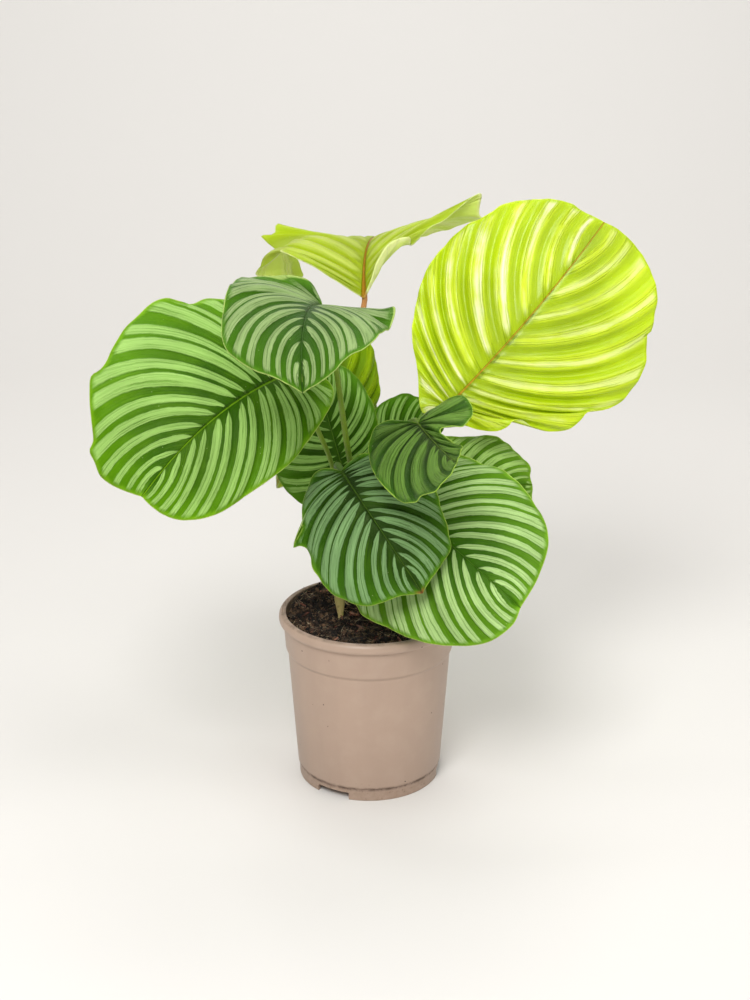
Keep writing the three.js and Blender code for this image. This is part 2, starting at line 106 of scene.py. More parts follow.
# base and tip are the ends of the midrib and facing is where the upper face looks. arch lifts the middle
# of the midrib and sweep moves it to the leaf's left. fold, curl, bow and outline are given for the left and
# the right half: fold is the angle at which the half leaves the midrib, curl what it gains on its way out,
# bow how far the veins bend, and outline a half-width or the margin's points, along and across the midrib.
# twist turns the blade along its length. wave is the height, number and phase of the margin's waves. bands
# is the number of dark bands on each side, pleat the height of their pleats and split the share of it that
# has two folds to a band. fan spreads the veins' starts along the midrib, and up to straight they don't bend.
# folds are single rises of the margin: half, place between base and tip, width, height and how far in they
# reach. pulls draw it aside instead. root is where the stalk leaves the soil and via its way to the blade.
LEAVES = {
    "left_large": dict(
        base=(-47, -30, 289), tip=(-134, -92, 230), facing=(0.12, -0.76, 0.62),
        arch=18, sweep=-4, fold=(0, -8), curl=(22, 8), twist=4, wave=(2, 4, 0.1),
        outline=(
            ((-14, 8), (-18, 17), (-10, 27), (10, 38), (36, 48), (63, 49), (96, 43), (114, 30), (121, 16)),
            ((-16, -8), (-24, -24), (-20, -46), (-8, -60), (7, -68), (20, -68), (27, -72), (32, -78), (43, -80),
             (62, -78), (76, -73), (85, -69), (91, -68), (96, -69), (102, -64), (112, -53), (119, -44), (124, -42),
             (126, -36), (129, -27), (127, -14)),
        ),
        root=(-19.5, 9), via=((-22, 3, 165), (-23, -6, 218), (-34, -16, 253)),
        look="meadow", bands=7.5,
    ),
    "front_upper": dict(
        base=(-27, -60, 338), tip=(-35, -158, 313), facing=(-0.25, -0.2, 0.95),
        arch=17, fold=(5, -30), curl=(35, 22), twist=-22, wave=(2, 3, 0.3), fan=3,
        folds=((0, 0.37, 0.07, 9, 2.5), (1, 0.13, 0.08, 9, 1)),
        outline=(
            ((-6, 6), (-4, 18), (8, 35), (26, 46), (44, 48), (60, 44), (74, 39), (84, 26), (96, 14)),
            ((-8, -8), (-10, -30), (-6, -50), (20, -49), (36, -47), (54, -46), (70, -44), (80, -38), (88, -28),
             (95, -11)),
        ),
        root=(5, 12), via=((1, 8, 160), (-8, -4, 205), (-13, -18, 235), (-19, -42, 291)),
        look="silver", bands=6.6, pleat=2.3,
    ),
    "right_large": dict(
        base=(50, 20, 251), tip=(153, 60, 365), facing=(0.05, -0.9, 0.4),
        arch=6, sweep=-3, fold=(0, 0), curl=(10, 10), wave=(2.5, 5, 0), bow=(0.24, 0.2), straight=0.2,
        outline=(
            ((-11, 6), (-9, 14), (6, 30), (26, 53), (53, 68.5), (82, 73.5), (100, 70), (109, 65), (117, 62.5),
             (124, 61), (131, 57), (143, 43), (148, 36), (154, 25), (155, 17), (157, 8)),
            ((-4, -8), (0, -18), (3, -25), (10, -34), (17, -37), (22, -37), (26, -41), (27, -50), (32, -60),
             (40, -67), (50, -69), (58, -69), (66, -77), (76, -82), (88, -82), (102, -79), (112, -75),
             (122, -67.5), (126, -68), (134, -63.5), (145, -56), (154, -45), (160, -30), (161, -12)),
        ),
        root=(17, 14), via=((21, 21, 150), (30, 24, 196), (37, 33, 219), (46, 38, 237)),
        look="lime", bands=9.4, pleat=2.6, split=0.5,
    ),
    "top": dict(
        base=(-3, 45, 318), tip=(16, 150, 331), facing=(0, -0.05, 1),
        arch=21, sweep=6, fold=(-1, -20), curl=(80, 25), curl_width=68, curl_power=(6, 3), curl_limit=1,
        twist=(26, 0), wave=(1, 4, 0.2), bow=(-0.02, -0.2),
        pulls=(
            (0, 0.33, 0.03, (6, 0, 3), 3), (0, 0.41, 0.04, (-11, 0, -4), 3), (0, 0.52, 0.035, (15, 0, -6), 3),
            (0, 0.59, 0.045, (12, 0, 0), 3), (0, 0.69, 0.02, (-24, 0, 15), 4), (0, 0.725, 0.018, (-17, 0, 19), 4),
            (1, 0.275, 0.025, (-6, 0, -10), 4), (1, 0.41, 0.04, (13, 0, 15), 4),
        ),
        folds=((1, 0.13, 0.1, 8, 9),),
        outline=(
            ((3, 8), (9, 20), (17, 36), (24, 52), (36, 72), (56, 90), (84, 70), (102, 30)),
            ((8, -7), (20, -15), (33, -26), (48, -42), (64, -64), (82, -88), (98, -62), (106, -28)),
        ),
        root=(9, 25), via=((9, 31, 145), (8, 50, 190), (3, 62, 245), (-2, 58, 292)),
        look="young_sunlit", bands=8.5,
    ),
    "back_upper": dict(
        base=(-12, 47, 233), tip=(-31, 56, 300), facing=(0.2, -0.9, 0.4),
        arch=6, wave=(2, 3, 0),
        outline=(26, 28.5),
        root=(3.5, 18.5), via=((2, 26, 150), (-6, 40, 195)),
        look="backlit", bands=5.5,
    ),
    "back_left": dict(
        base=(-16, 12, 208), tip=(-36, 38, 276), facing=(-0.1, -0.9, 0.4),
        arch=6, wave=(2, 3, 0.5),
        outline=(((-12, 10), (-16, 24), (-8, 38), (10, 46), (34, 44), (56, 32), (70, 14)), 31),
        root=(-16, 12), via=((-16, 13, 140), (-16, 14, 175)),
        look="shade", bands=6.5,
    ),
    "back_low": dict(
        base=(-31, 34, 221), tip=(-63, 46, 187), facing=(-0.3, -0.5, 0.8),
        arch=8, wave=(2, 3, 0.5),
        outline=(((-3, 9), (8, 15), (24, 14), (40, 8)), 20),
        root=(-20, 16.5), via=((-22, 22, 150), (-27, 30, 190)),
        look="young_sunlit", bands=5.5,
    ),
    "back_centre": dict(
        base=(3, 31, 211), tip=(50, 56, 236), facing=(0.1, -0.9, 0.4),
        arch=6, wave=(2, 3, 0.2),
        outline=(30, 13),
        root=(10, 18), via=((9, 22, 145), (6, 30, 182)),
        look="shade", bands=6.5,
    ),
    "curled": dict(
        base=(30, -50, 263), tip=(50, -130, 264), facing=(-0.4, -0.1, 0.9),
        arch=-3, fold=(0, 5), curl=(15, 15), twist=-30, wave=(2, 3, 0.4), fan=3.5, bow=(0, 0.24),
        folds=((0, 0.25, 0.1, 8, 1.2),),
        outline=(
            ((-10, 8), (-14, 20), (-6, 33), (8, 33), (16, 24), (19, 13), (24, 7), (36, 7), (50, 9), (62, 10),
             (74, 6)),
            ((-9, -9), (-12, -20), (-2, -31), (6, -36), (30, -40), (60, -38), (72, -33), (78, -27), (85, -22),
             (87, -17), (87, -9)),
        ),
        root=(11, 6), via=((10, 7, 150), (4, 9, 195), (2, 3, 220), (10, -22, 243)),
        look="deep", bands=6.5, pleat=2.3,
    ),
    "right_mid": dict(
        base=(24, 2, 194), tip=(109, 30, 195), facing=(-0.1, -0.85, 0.5),
        arch=8, wave=(2.5, 4, 0.6),
        outline=(
            ((-8, 10), (0, 28), (22, 40), (40, 41), (53, 39), (64, 37), (75, 36), (82, 32), (84, 26), (88, 18.5),
             (91, 12), (89, 5)),
            34,
        ),
        root=(23, 9.5), via=((25, 8, 140), (26, 5, 170)),
        look="pale", bands=6.5,
    ),
    "right_low": dict(
        base=(15, -10, 204), tip=(92, -95, 160), facing=(-0.4, -0.6, 0.6),
        arch=12, wave=(2, 4, 0.2),
        outline=(
            ((-10, 8), (-12, 24), (0, 39), (24, 53), (51, 58.5), (80, 57), (106, 44), (118, 22)),
            ((-6, -8), (-8, -20), (-3, -38), (8, -58), (24, -72), (48, -72), (78, -63), (104, -49), (121, -31),
             (126, -12)),
        ),
        root=(17, 5), via=((18, 4, 145), (17, 0, 178)),
        look="fresh", bands=7.6,
    ),
    "front_centre": dict(
        base=(-17, -38, 228), tip=(33, -85, 165), facing=(-0.1, -0.85, 0.5),
        arch=12, curl=(25, 25), wave=(2, 4, 0.7),
        outline=(
            ((-3, 8), (-2, 21), (14, 36), (34, 44), (48, 43), (59, 38), (70, 36), (76, 34), (82, 30), (86, 19),
             (90, 7)),
            ((-9, -8), (-11, -19), (-3, -30), (6, -36), (13, -42), (17, -54), (20, -50), (26, -47), (34, -46),
             (43, -49), (56, -50), (68, -47), (83, -32), (88, -12)),
        ),
        root=(4, 5.5), via=((-2, 4, 145), (-13, -5, 182), (-19, -18, 208)),
        look="silver_deep", bands=6.8, pleat=2.4,
    ),
}

# What a leaf has where its own entry doesn't say. PLAIN is the same for a look.
COMMON = dict(
    sweep=0, fold=(5, 5), curl=(20, 20), curl_width=60, curl_power=(1, 1), curl_limit=2, twist=0, fan=2,
    bow=(0.24, 0.24), straight=0.035, pleat=1.9, split=0.3, folds=(), pulls=(),
)
LEAVES = {name: {**COMMON, **leaf} for name, leaf in LEAVES.items()}


def tinted(colours, **values):
    """A look: its six colours and its other values."""
    return dict(zip(("pale", "dark", "outer", "margin", "edge", "rib"), colours.split()), **values)


# Colours of a leaf's upper face, as hexadecimal sRGB: the pale stripes, the dark bands at the midrib and
# further out, the margin, its edge and the midrib. share is the part of a band's width that is dark and
# line that of the thin dark line which splits the pale stripe beside it. joined is how often that line is
# left out, strength how clear the stripes are, streaks are marks in the pale stripes, the lime look's glint
# colour is a painted highlight on them, and soft is how much light goes through.
LOOKS = {
    "meadow": tinted(
        "9cc468 2a5400 4c7e02 76a814 b4cc60 6c9c10", share=0.28, line=0.085, rib_width=1.7, rough=0.34,
    ),
    "silver": tinted("90a86c 264c04 346004 4a7c10 aec46c 4a7030", share=0.26, line=0.065, rough=0.32),
    "silver_deep": tinted(
        "80a46c 1a3604 305c06 588c12 a4c050 44641a", share=0.26, line=0.07, rib_width=1.4, rough=0.30,
        specular=0.2, dry_tip="84502e",
    ),
    "fresh": tinted("b0d086 2e5a04 4c7c06 74a820 bcd666 4e7c1a", share=0.25, line=0.08, rough=0.32),
    "pale": tinted("a8cc72 386206 568412 7cac28 bad466 7ca828", share=0.27, line=0.08, rough=0.36),
    "deep": tinted(
        "648836 122c00 224804 44740e a4c450 6c8a30", share=0.27, joined=0.8, rough=0.30, specular=0.2,
    ),
    "shade": tinted("a0cc6a 2e5406 4c800c 548816 7c9c34 5c8424", share=0.34, line=0.10, rough=0.36),
    # painted glow: partly the leaf's own light green, partly painted sunlight glowing through the blade
    "lime": tinted(
        "cfe42c 9cb400 b0ca00 bcda08 dcee50 c89818", bright="f8fcc8", strength=0.85, share=0.34, joined=1.1,
        rib_width=1.3, rough=0.26, specular=0.3, coat=0.35, soft=0.25, streaks=0.2,
    ),
    # painted glow: partly the leaf's own young light green, partly painted sunlight glowing through the blade
    "young_sunlit": tinted(
        "b8c65c 8ea008 9fb41a aec438 d8e49a ac741a", share=0.32, joined=1.1, strength=0.8, rib_width=2.2,
        rough=0.34, specular=0.2, soft=0.35,
    ),
    "backlit": tinted(
        "98b406 5c7c00 729400 82a004 98b420 8ca034", share=0.34, joined=1.1, strength=0.8, rough=0.40,
        specular=0.2, soft=0.3,
    ),
}
PLAIN = dict(line=0.0, joined=0.0, strength=1.0, streaks=0.36, rib_width=1.0, specular=0.16, coat=0.0, soft=0.0)
UNDER = tinted("aac68c 84a45c 90b068 9cbc6c b8cc7c b4c878")
# underside of the lime and young leaves: partly its own pale green, partly painted light glowing through the blade
YOUNG_SUNLIT_UNDER = tinted("e6f0ac c4da54 cee468 d6ea80 e6f0a4 b8823c")

# The pleats stop getting lower at fade, as a share of the way out. bow_at is where a vein bends most.
# tip_bands is how much closer the bands stand at the tip. The right half's waves start half_phase later.
BLADE = dict(
    thickness=0.5, fade=0.85, bow_at=0.57, bow_from=0.35, tip_bands=0.2, steps=8, half_phase=0.37, uneven=0.5,
    uneven_scale=0.09, rib_depth=0.45, rib_width=1.4,
)
OVAL = dict(centre=0.47, half=0.53, fullness=0.9, steps=10)

# Stalks that leave the soil together, in one pale sheath. stalks gives how far they have spread from its
# centre to their roots at three heights.
SHEATH = dict(
    leaves=("left_large", "back_left", "back_low"), centre=(-19, 10), heights=(102, 107, 112, 120, 130, 138, 140),
    radii=(0.8, 1.2, 2.3, 3.6, 3.9, 2.6, 0.4), stalks=((0.05, 96), (0.1, 108), (0.35, 126)), slimmer=0.62,
    lean=(-1.2, 1.5), sides=20, rings=40,
)
# A stalk runs straight up from bottom to straight_to. It takes the midrib's direction that far before the
# blade, drop below it, and runs on under the blade as its rib.
STALK = dict(
    sides=14, rings=150, bottom=90.5, straight_to=114, approach=9, drop=0.7, rib_start=6, rib_end=0.94,
    rib_steps=16, rib_drop=0.4, top="7f9a2c",
)
STALK_TOPS = {"top": "b0783c", "right_large": "b89a3c", "curled": "5c7c22", "front_centre": "50741c"}

# ---------------------------------------------------------------- pot and soil, in mm

POT = dict(
    height=118, lip_radius=60, lip_height=6.5, mouth_radius=55, collar_top=57, collar_bottom=55.6,
    collar_height=20.5, body_top=54.2, body_bottom=48.4, foot_radius=47.4, foot_height=8.4, foot_width=2.4,
    wall=1.5, floor=5, pad=7, crease=2,
)
NOTCHES = dict(directions=(-121, -1, 119), sweep=29, height=5.2, centre=48, depth=14, ease=0.8)
DRAIN = dict(count=6, radius=3.2, circle=30, first=0.3)
SOIL_TOP = 107
SOIL_RADIUS = 54.8
LOOSE_RADIUS = 53.4
SOIL_HEAP = dict(rise=11.5, towards=(-0.6, 0.8), start=20, run=32, power=1.3)
SOIL_LUMPS = ((55, 0.9), (150, 0.8), (380, 0.55), (900, 0.35))
CRUMB_SIZES = (0.2, 0.25, 0.3, 0.35, 0.4, 0.5, 0.6, 0.8, 1.3)
LARGE_CRUMBS = dict(share=0.02, larger=2.2)

# ---------------------------------------------------------------- stage, in metres

BACKDROP = dict(front=-2.4, bend=1.0, radius=1.2, height=4.0, side=4.0)
SOFTBOXES = {
    "key_light": dict(place=(-0.34, -1.32, 1.5), size=0.75, power="key", target=(0, 0, 0.22)),
    "fill_light": dict(place=(1.4, -0.9, 0.9), size=1.4, power="fill", target=(0, 0, 0.22)),
    "top_light": dict(place=(0.45, -0.55, 1.7), size=0.6, power="fill", target=(0, 0, 0.22)),
    "wall_light": dict(place=(0.0, 0.9, 2.6), size=1.6, power="key", target=(0, 2.2, 0.6)),
}
WORLD = dict(colour=(1.0, 0.985, 0.96, 1.0), strength=0.36)
CAMERA = dict(lens=61.2, place=(0.0040, -1.039, 0.5694), tilt=70.18)

# ---------------------------------------------------------------- making and shaping


def linear(colour):
    """A hexadecimal sRGB colour as scene-linear RGBA."""
    parts = [int(colour[i:i + 2], 16) / 255 for i in (0, 2, 4)]
    return tuple(c / 12.92 if c <= 0.04045 else ((c + 0.055) / 1.055) ** 2.4 for c in parts) + (1.0,)


def let_go():
    """Nothing is selected or active, in object mode."""
    if bpy.context.object and bpy.context.object.mode != "OBJECT":
        bpy.ops.object.mode_set(mode="OBJECT")
    for each in bpy.context.scene.objects:
        each.select_set(False)


def take(piece):
    """Makes piece the one that is selected and active."""
    let_go()
    bpy.context.view_layer.objects.active = piece
    piece.select_set(True)
    return piece


def piece_from(name, vertices, edges, faces):
    """A mesh object from points in metres."""
    mesh = bpy.data.meshes.new(name)
    mesh.from_pydata([tuple(v) for v in vertices], edges, faces)
    mesh.update()
    piece = bpy.data.objects.new(name, mesh)
    bpy.context.scene.collection.objects.link(piece)
    return take(piece)


def edit(*steps):
    """Runs edit-mode steps on the whole of the active piece."""
    bpy.ops.object.mode_set(mode="EDIT")
    bpy.ops.mesh.select_all(action="SELECT")
    for step in steps:
        step()
    bpy.ops.object.mode_set(mode="OBJECT")


def weld():
    bpy.ops.mesh.remove_doubles(threshold=1e-6)


def face_outwards():
    bpy.ops.mesh.normals_make_consistent(inside=False)


def modify(piece, kind, **settings):
    """Adds a modifier and applies it."""
    take(piece)
    modifier = piece.modifiers.new(kind.title(), kind)
    for name, value in settings.items():
        setattr(modifier, name, value)
    bpy.ops.object.modifier_apply(modifier=modifier.name)


def spun(name, profile, steps):
    """A closed turned shape from [radius, height] points in mm that start and end on the axis."""
    points = [(radius * MM, 0, height * MM) for radius, height in profile]
    edges = [(i, i + 1) for i in range(len(points) - 1)]
    piece = piece_from(name, points, edges, [])
    edit(
        lambda: bpy.ops.mesh.spin(steps=steps, angle=math.tau, center=(0, 0, 0), axis=(0, 0, 1)),
        weld,
        face_outwards,
    )
    return piece


def rounded(corners, steps=4):
    """A profile whose corners, given as (radius, height, rounding), are eased."""
    points = []
    for i, (x, z, ease) in enumerate(corners):
        here = np.array((x, z), float)
        if ease == 0 or i in (0, len(corners) - 1):
            points.append(tuple(here))
            continue
        before = np.array(corners[i - 1][:2]) - here
        after = np.array(corners[i + 1][:2]) - here
        first = here + before * min(ease / np.linalg.norm(before), 0.49)
        last = here + after * min(ease / np.linalg.norm(after), 0.49)
        for t in np.linspace(0, 1, steps):
            points.append(tuple((1 - t) ** 2 * first + 2 * t * (1 - t) * here + t * t * last))
    return points


def give_values(piece, **fields):
    """Stores one number for each vertex under each name."""
    for name, values in fields.items():
        layer = piece.data.attributes.new(name, "FLOAT", "POINT")
        layer.data.foreach_set("value", np.asarray(values, np.float32))


def dress(piece, *materials):
    piece.data.materials.clear()
    for material in materials:
        piece.data.materials.append(material)


def hand_over(piece, slot, *nodes):
    """The finished piece rides with the plant and stands for its CAD nodes."""
    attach(piece, "root")
    if nodes:
        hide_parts(*nodes)
    let_go()


def smooth_piece(name, vertices, faces, material, slot, *nodes, **fields):
    """A finished piece from points in metres, with one number for each vertex under each name."""
    piece = piece_from(name, vertices, [], faces)
    give_values(piece, **fields)
    edit(face_outwards)
    bpy.ops.object.shade_smooth()
    dress(piece, material)
    hand_over(piece, slot, *nodes)


# ---------------------------------------------------------------- the leaf's surface


def unit(vector):
    return vector / np.linalg.norm(vector, axis=-1, keepdims=True)


def hump(places, where, width):
    """A smooth hump with a height of 1."""
    return np.exp(-(((places - where) / width) ** 2))


def cubic(b, c, start, end, w):
    """The curve from b to c that leaves along start and comes in along end."""
    return (2 * b - 2 * c + start + end) * w**3 + (3 * c - 3 * b - 2 * start - end) * w**2 + start * w + b


def evenly(curve, count):
    """Places at even steps of the curve's length, and those lengths."""
    run = np.append(0, np.cumsum(np.linalg.norm(np.diff(curve, axis=0), axis=1)))
    even = np.linspace(0, run[-1], count)
    return np.column_stack([np.interp(even, run, column) for column in curve.T]), even


def spline(points, count):
    """Places along a uniform Catmull-Rom curve."""
    given = np.asarray(points, float)
    padded = np.vstack([given[:1], given, given[-1:]])
    t = np.linspace(0, len(given) - 1, count)
    k = np.minimum(t.astype(int), len(given) - 2)
    w = (t - k)[:, None]
    a, b, c, d = (padded[k + i] for i in range(4))
    return cubic(b, c, (c - a) / 2, (d - b) / 2, w)


class LeafShape:
    """The surface of one leaf, in mm."""

    def __init__(self, leaf):
        self.leaf = leaf
        self.base, tip = (np.array(leaf[end], float) for end in ("base", "tip"))
        self.length = np.linalg.norm(tip - self.base)
        self.chord = (tip - self.base) / self.length
        facing = unit(np.array(leaf["facing"], float))
        self.normal = unit(facing - (facing @ self.chord) * self.chord)
        self.left = np.cross(self.normal, self.chord)
        self.margins = [self.margin(half) for half in (0, 1)]
        self.evened = [self.even(margin) for margin in self.margins]

    def margin(self, half):
        """The margin from base to tip, at even steps of its length."""
        given = self.leaf["outline"][half]
        sign = 1 - 2 * half
        if isinstance(given, (int, float)):
            angles = np.arange(1, OVAL["steps"]) / OVAL["steps"] * math.pi
            along = self.length * (OVAL["centre"] - OVAL["half"] * np.cos(angles))
            given = np.column_stack([along, sign * given * np.sin(angles) ** OVAL["fullness"]])
        curve = spline([(0, 0), *[tuple(p) for p in given], (self.length, 0)], 1201)
        return evenly(curve, 601)[0]

    def even(self, margin):
        """The margin without its notches, which the veins' courses follow."""
        reach = 80
        ends = (2 * margin[0] - margin[reach:0:-1], margin, 2 * margin[-1] - margin[-2:-reach - 2:-1])
        weights = np.hanning(2 * reach + 1)
        return np.column_stack([np.convolve(row, weights / weights.sum(), "valid") for row in np.vstack(ends).T])

    def midrib(self, along):
        """Place, tangent and normal of the arched midrib."""
        t = (along / self.length)[:, None]
        rise, aside = (4 * self.leaf[name] * t * (1 - t) for name in ("arch", "sweep"))
        place = self.base + self.chord * along[:, None] + self.normal * rise + self.left * aside
        tangent = unit(self.chord + self.normal * 4 * self.leaf["arch"] * (1 - 2 * t) / self.length)
        return place, tangent, unit(np.cross(tangent, self.left))

    def blade(self, along, across, lift):
        """Points of the blade, lifted off its middle surface."""
        leaf = self.leaf
        place, _, normal = self.midrib(along)
        half = (across < 0).astype(int)
        sign = 1.0 - 2 * half
        twist = np.broadcast_to(leaf["twist"], 2)[half]
        start = np.array(leaf["fold"])[half] + twist * (along / self.length - 0.5) * sign
        gain = np.array(leaf["curl"])[half]
        power = np.array(leaf["curl_power"])[half]

        def slope(distance):
            way = np.minimum(distance / leaf["curl_width"], leaf["curl_limit"])
            return np.radians(start + gain * way**power)

        step = np.abs(across) / BLADE["steps"]
        angles = [slope((i + 0.5) * step) for i in range(BLADE["steps"])]
        out = sum(step * np.cos(angle) for angle in angles)
        down = sum(step * np.sin(angle) for angle in angles)
        last = slope(np.abs(across))
        face = normal * np.cos(last)[:, None] + self.left * (sign * np.sin(last))[:, None]
        return place + self.left * (sign * out)[:, None] - normal * down[:, None] + face * lift[:, None]

    def vein(self, rank, out, half):
        """Along and across of points on the veins: rank is 0 at the base, out is 0 on the midrib."""
        steps = np.linspace(0, 1, len(self.margins[half]))
        true_end, end = (
            np.column_stack([np.interp(rank, steps, margin[:, axis]) for axis in (0, 1)])
            for margin in (self.margins[half], self.evened[half])
        )
        origin = np.column_stack([self.length * (1 - np.sqrt(1 - rank ** self.leaf["fan"])), np.zeros_like(rank)])
        bend = np.clip((rank - self.leaf["straight"]) / BLADE["bow_from"], 0, 1)[:, None]
        bow = (1 - 2 * half) * self.leaf["bow"][half] * bend
        reach = end - origin
        middle = origin + reach * BLADE["bow_at"] + bow * np.column_stack([-reach[:, 1], reach[:, 0]])
        t = out[:, None]
        return (1 - t) ** 2 * origin + 2 * t * (1 - t) * middle + t * t * end + t**3 * (true_end - end)

    def pulled(self, points, rank, out, half):
        """The points, with parts of the margin drawn aside."""
        for side, where, width, way, power in self.leaf["pulls"]:
            much = (half == side) * hump(rank, where, width) * out**power
            points = points + much[:, None] * np.array(way, float)
        return points


def centripetal(points, count):
    """Even steps along a centripetal Catmull-Rom curve through the points."""
    given = np.asarray(points, float)
    padded = np.vstack([2 * given[0] - given[1], given, 2 * given[-1] - given[-2]])
    places = []
    for a, b, c, d in zip(padded, padded[1:], padded[2:], padded[3:]):
        first, second, third = (max(np.linalg.norm(q - p), 1e-6) ** 0.5 for p, q in ((a, b), (b, c), (c, d)))
        start = ((b - a) / first - (c - a) / (first + second) + (c - b) / second) * second
        end = ((c - b) / second - (d - b) / (second + third) + (d - c) / third) * second
        w = np.linspace(0, 1, 24, endpoint=False)[:, None]
        places.append(cubic(b, c, start, end, w))
    return evenly(np.vstack([*places, given[-1:]]), count)


def rings_along(centres, radii):
    """Vertices and faces of a tube whose rings stand square to its line; radii has a row for each ring."""
    sides = radii.shape[1]
    tangents = unit(np.gradient(centres, axis=0))
    across = unit(np.cross(tangents[0], (0.3, 1, 0.2)))
    angles = np.arange(sides) / sides * math.tau
    vertices = []
    for centre, tangent, radius in zip(centres, tangents, radii):
        across = unit(across - (across @ tangent) * tangent)
        other = np.cross(tangent, across)
        ring = np.outer(np.cos(angles) * radius, across) + np.outer(np.sin(angles) * radius, other)
        vertices.extend(centre + ring)
    faces = []
    for i in range(len(centres) - 1):
        for j in range(sides):
            a, b = i * sides + j, i * sides + (j + 1) % sides
            faces.append((a, b, b + sides, a + sides))
    faces.append(tuple(reversed(range(sides))))
    faces.append(tuple(range((len(centres) - 1) * sides, len(centres) * sides)))
    return vertices, faces


# ---------------------------------------------------------------- materials


class Value:
    """What a socket puts out over the surface. Sums and products of such values add nodes."""

    def __init__(self, bench, socket):
        self.bench, self.socket = bench, socket

    def __add__(self, other):
        return self.bench.math("ADD", self, other)

    def __sub__(self, other):
        return self.bench.math("SUBTRACT", self, other)

    def __rsub__(self, other):
        return self.bench.math("SUBTRACT", other, self)

    def __mul__(self, other):
        return self.bench.math("MULTIPLY", self, other)

    def __truediv__(self, other):
        return self.bench.math("DIVIDE", self, other)

    def __pow__(self, other):
        return self.bench.math("POWER", self, other)

    def __abs__(self):
        return self.bench.math("ABSOLUTE", self)

    __radd__, __rmul__ = __add__, __mul__


class Workbench:
    """Adds nodes to one tree. Most methods return the value that their node puts out."""

    def __init__(self, tree):
        self.tree = tree

    def node(self, kind, **settings):
        made = self.tree.nodes.new(kind)
        for name, value in settings.items():
            setattr(made, name, value)
        return made

    def put(self, socket, given):
        """Links a value to a socket, or sets it to a number, a colour or a hexadecimal colour."""
        if isinstance(given, Value):
            self.tree.links.new(given.socket, socket)
        else:
            socket.default_value = linear(given) if isinstance(given, str) else given

    def made(self, kind, inputs, output=0, **settings):
        """A node whose inputs are given in order or by their names."""
        node = self.node(kind, **settings)
        for label, given in inputs.items() if isinstance(inputs, dict) else enumerate(inputs):
            self.put(node.inputs[label], given)
        return Value(self, node.outputs[output])

    def math(self, operation, *values):
        return self.made("ShaderNodeMath", values, operation=operation)

    def ramp(self, value, low, high, first=0.0, last=1.0):
        """Goes smoothly from first to last as value goes from low to high."""
        return self.made("ShaderNodeMapRange", (value, low, high, first, last), interpolation_type="SMOOTHSTEP")

    def mix(self, share, first, second, blend="MIX"):
        return self.made("ShaderNodeMix", {0: share, 6: first, 7: second}, 2, data_type="RGBA", blend_type=blend)

    def layered(self, colour, *layers):
        """The colour with tints laid over it, each with its mask and the most that it covers."""
        for mask, share, tint in layers:
            colour = self.mix(mask * share, colour, tint)
        return colour

    def dimmed(self, colour, share):
        return self.mix(1.0, colour, self.vector(share, share, share), blend="MULTIPLY")

    def place(self):
        return self.made("ShaderNodeTexCoord", (), "Object")

    def field(self, name):
        return self.made("ShaderNodeAttribute", (), "Fac", attribute_name=name)

    def vector(self, x, y, z):
        return self.made("ShaderNodeCombineXYZ", (x, y, z))

    def stretched(self, vector, scale):
        return self.made("ShaderNodeMapping", {"Vector": vector, "Scale": scale})

    def noise(self, vector, scale, detail=2.0, roughness=0.5):
        inputs = {"Vector": vector, "Scale": scale, "Detail": detail, "Roughness": roughness}
        return self.made("ShaderNodeTexNoise", inputs, "Fac")

    def spots(self, vector, scale, size, share):
        """Small round spots in some of the cells of a pattern."""
        distance = self.made("ShaderNodeTexVoronoi", {"Vector": vector, "Scale": scale}, "Distance")
        tint = Value(self, distance.socket.node.outputs["Color"])
        chosen = self.math("LESS_THAN", self.made("ShaderNodeSeparateColor", (tint,)), share)
        return chosen * self.ramp(distance, size * 0.6, size, 1.0, 0.0)

    def luck(self, *place):
        """A random number for each whole-numbered place."""
        inputs = {"Vector": self.vector(*place)}
        return self.made("ShaderNodeTexWhiteNoise", inputs, "Value", noise_dimensions="3D")

    def bump(self, height, distance, strength=1.0):
        return self.made("ShaderNodeBump", {"Strength": strength, "Distance": distance, "Height": height})


def new_material(name):
    """A material with an empty Principled surface, and its workbench."""
    material = bpy.data.materials.new(name)
    material.use_nodes = True
    return material, Workbench(material.node_tree)


def finish(material, bench, **inputs):
    """Gives the surface its inputs, by their names with _ for each space."""
    surface = material.node_tree.nodes["Principled BSDF"]
    for label, given in inputs.items():
        bench.put(surface.inputs[label.replace("_", " ")], given)
    return material


def new_effect(name, inputs, outputs):
    """An empty node group with named number inputs and outputs."""
    tree = bpy.data.node_groups.new(name, "ShaderNodeTree")
    for way, labels in (("INPUT", inputs), ("OUTPUT", outputs)):
        for label in labels:
            tree.interface.new_socket(label, in_out=way, socket_type="NodeSocketFloat")
    bench = Workbench(tree)
    given = {socket.name: Value(bench, socket) for socket in bench.node("NodeGroupInput").outputs}
    return tree, bench, given, bench.node("NodeGroupOutput").inputs


def use_effect(bench, tree, **values):
    """Places an effect and returns what it puts out."""
    made = bench.node("ShaderNodeGroup", node_tree=tree)
    for label, value in values.items():
        bench.put(made.inputs[label], value)
    return {socket.name: Value(bench, socket) for socket in made.outputs}


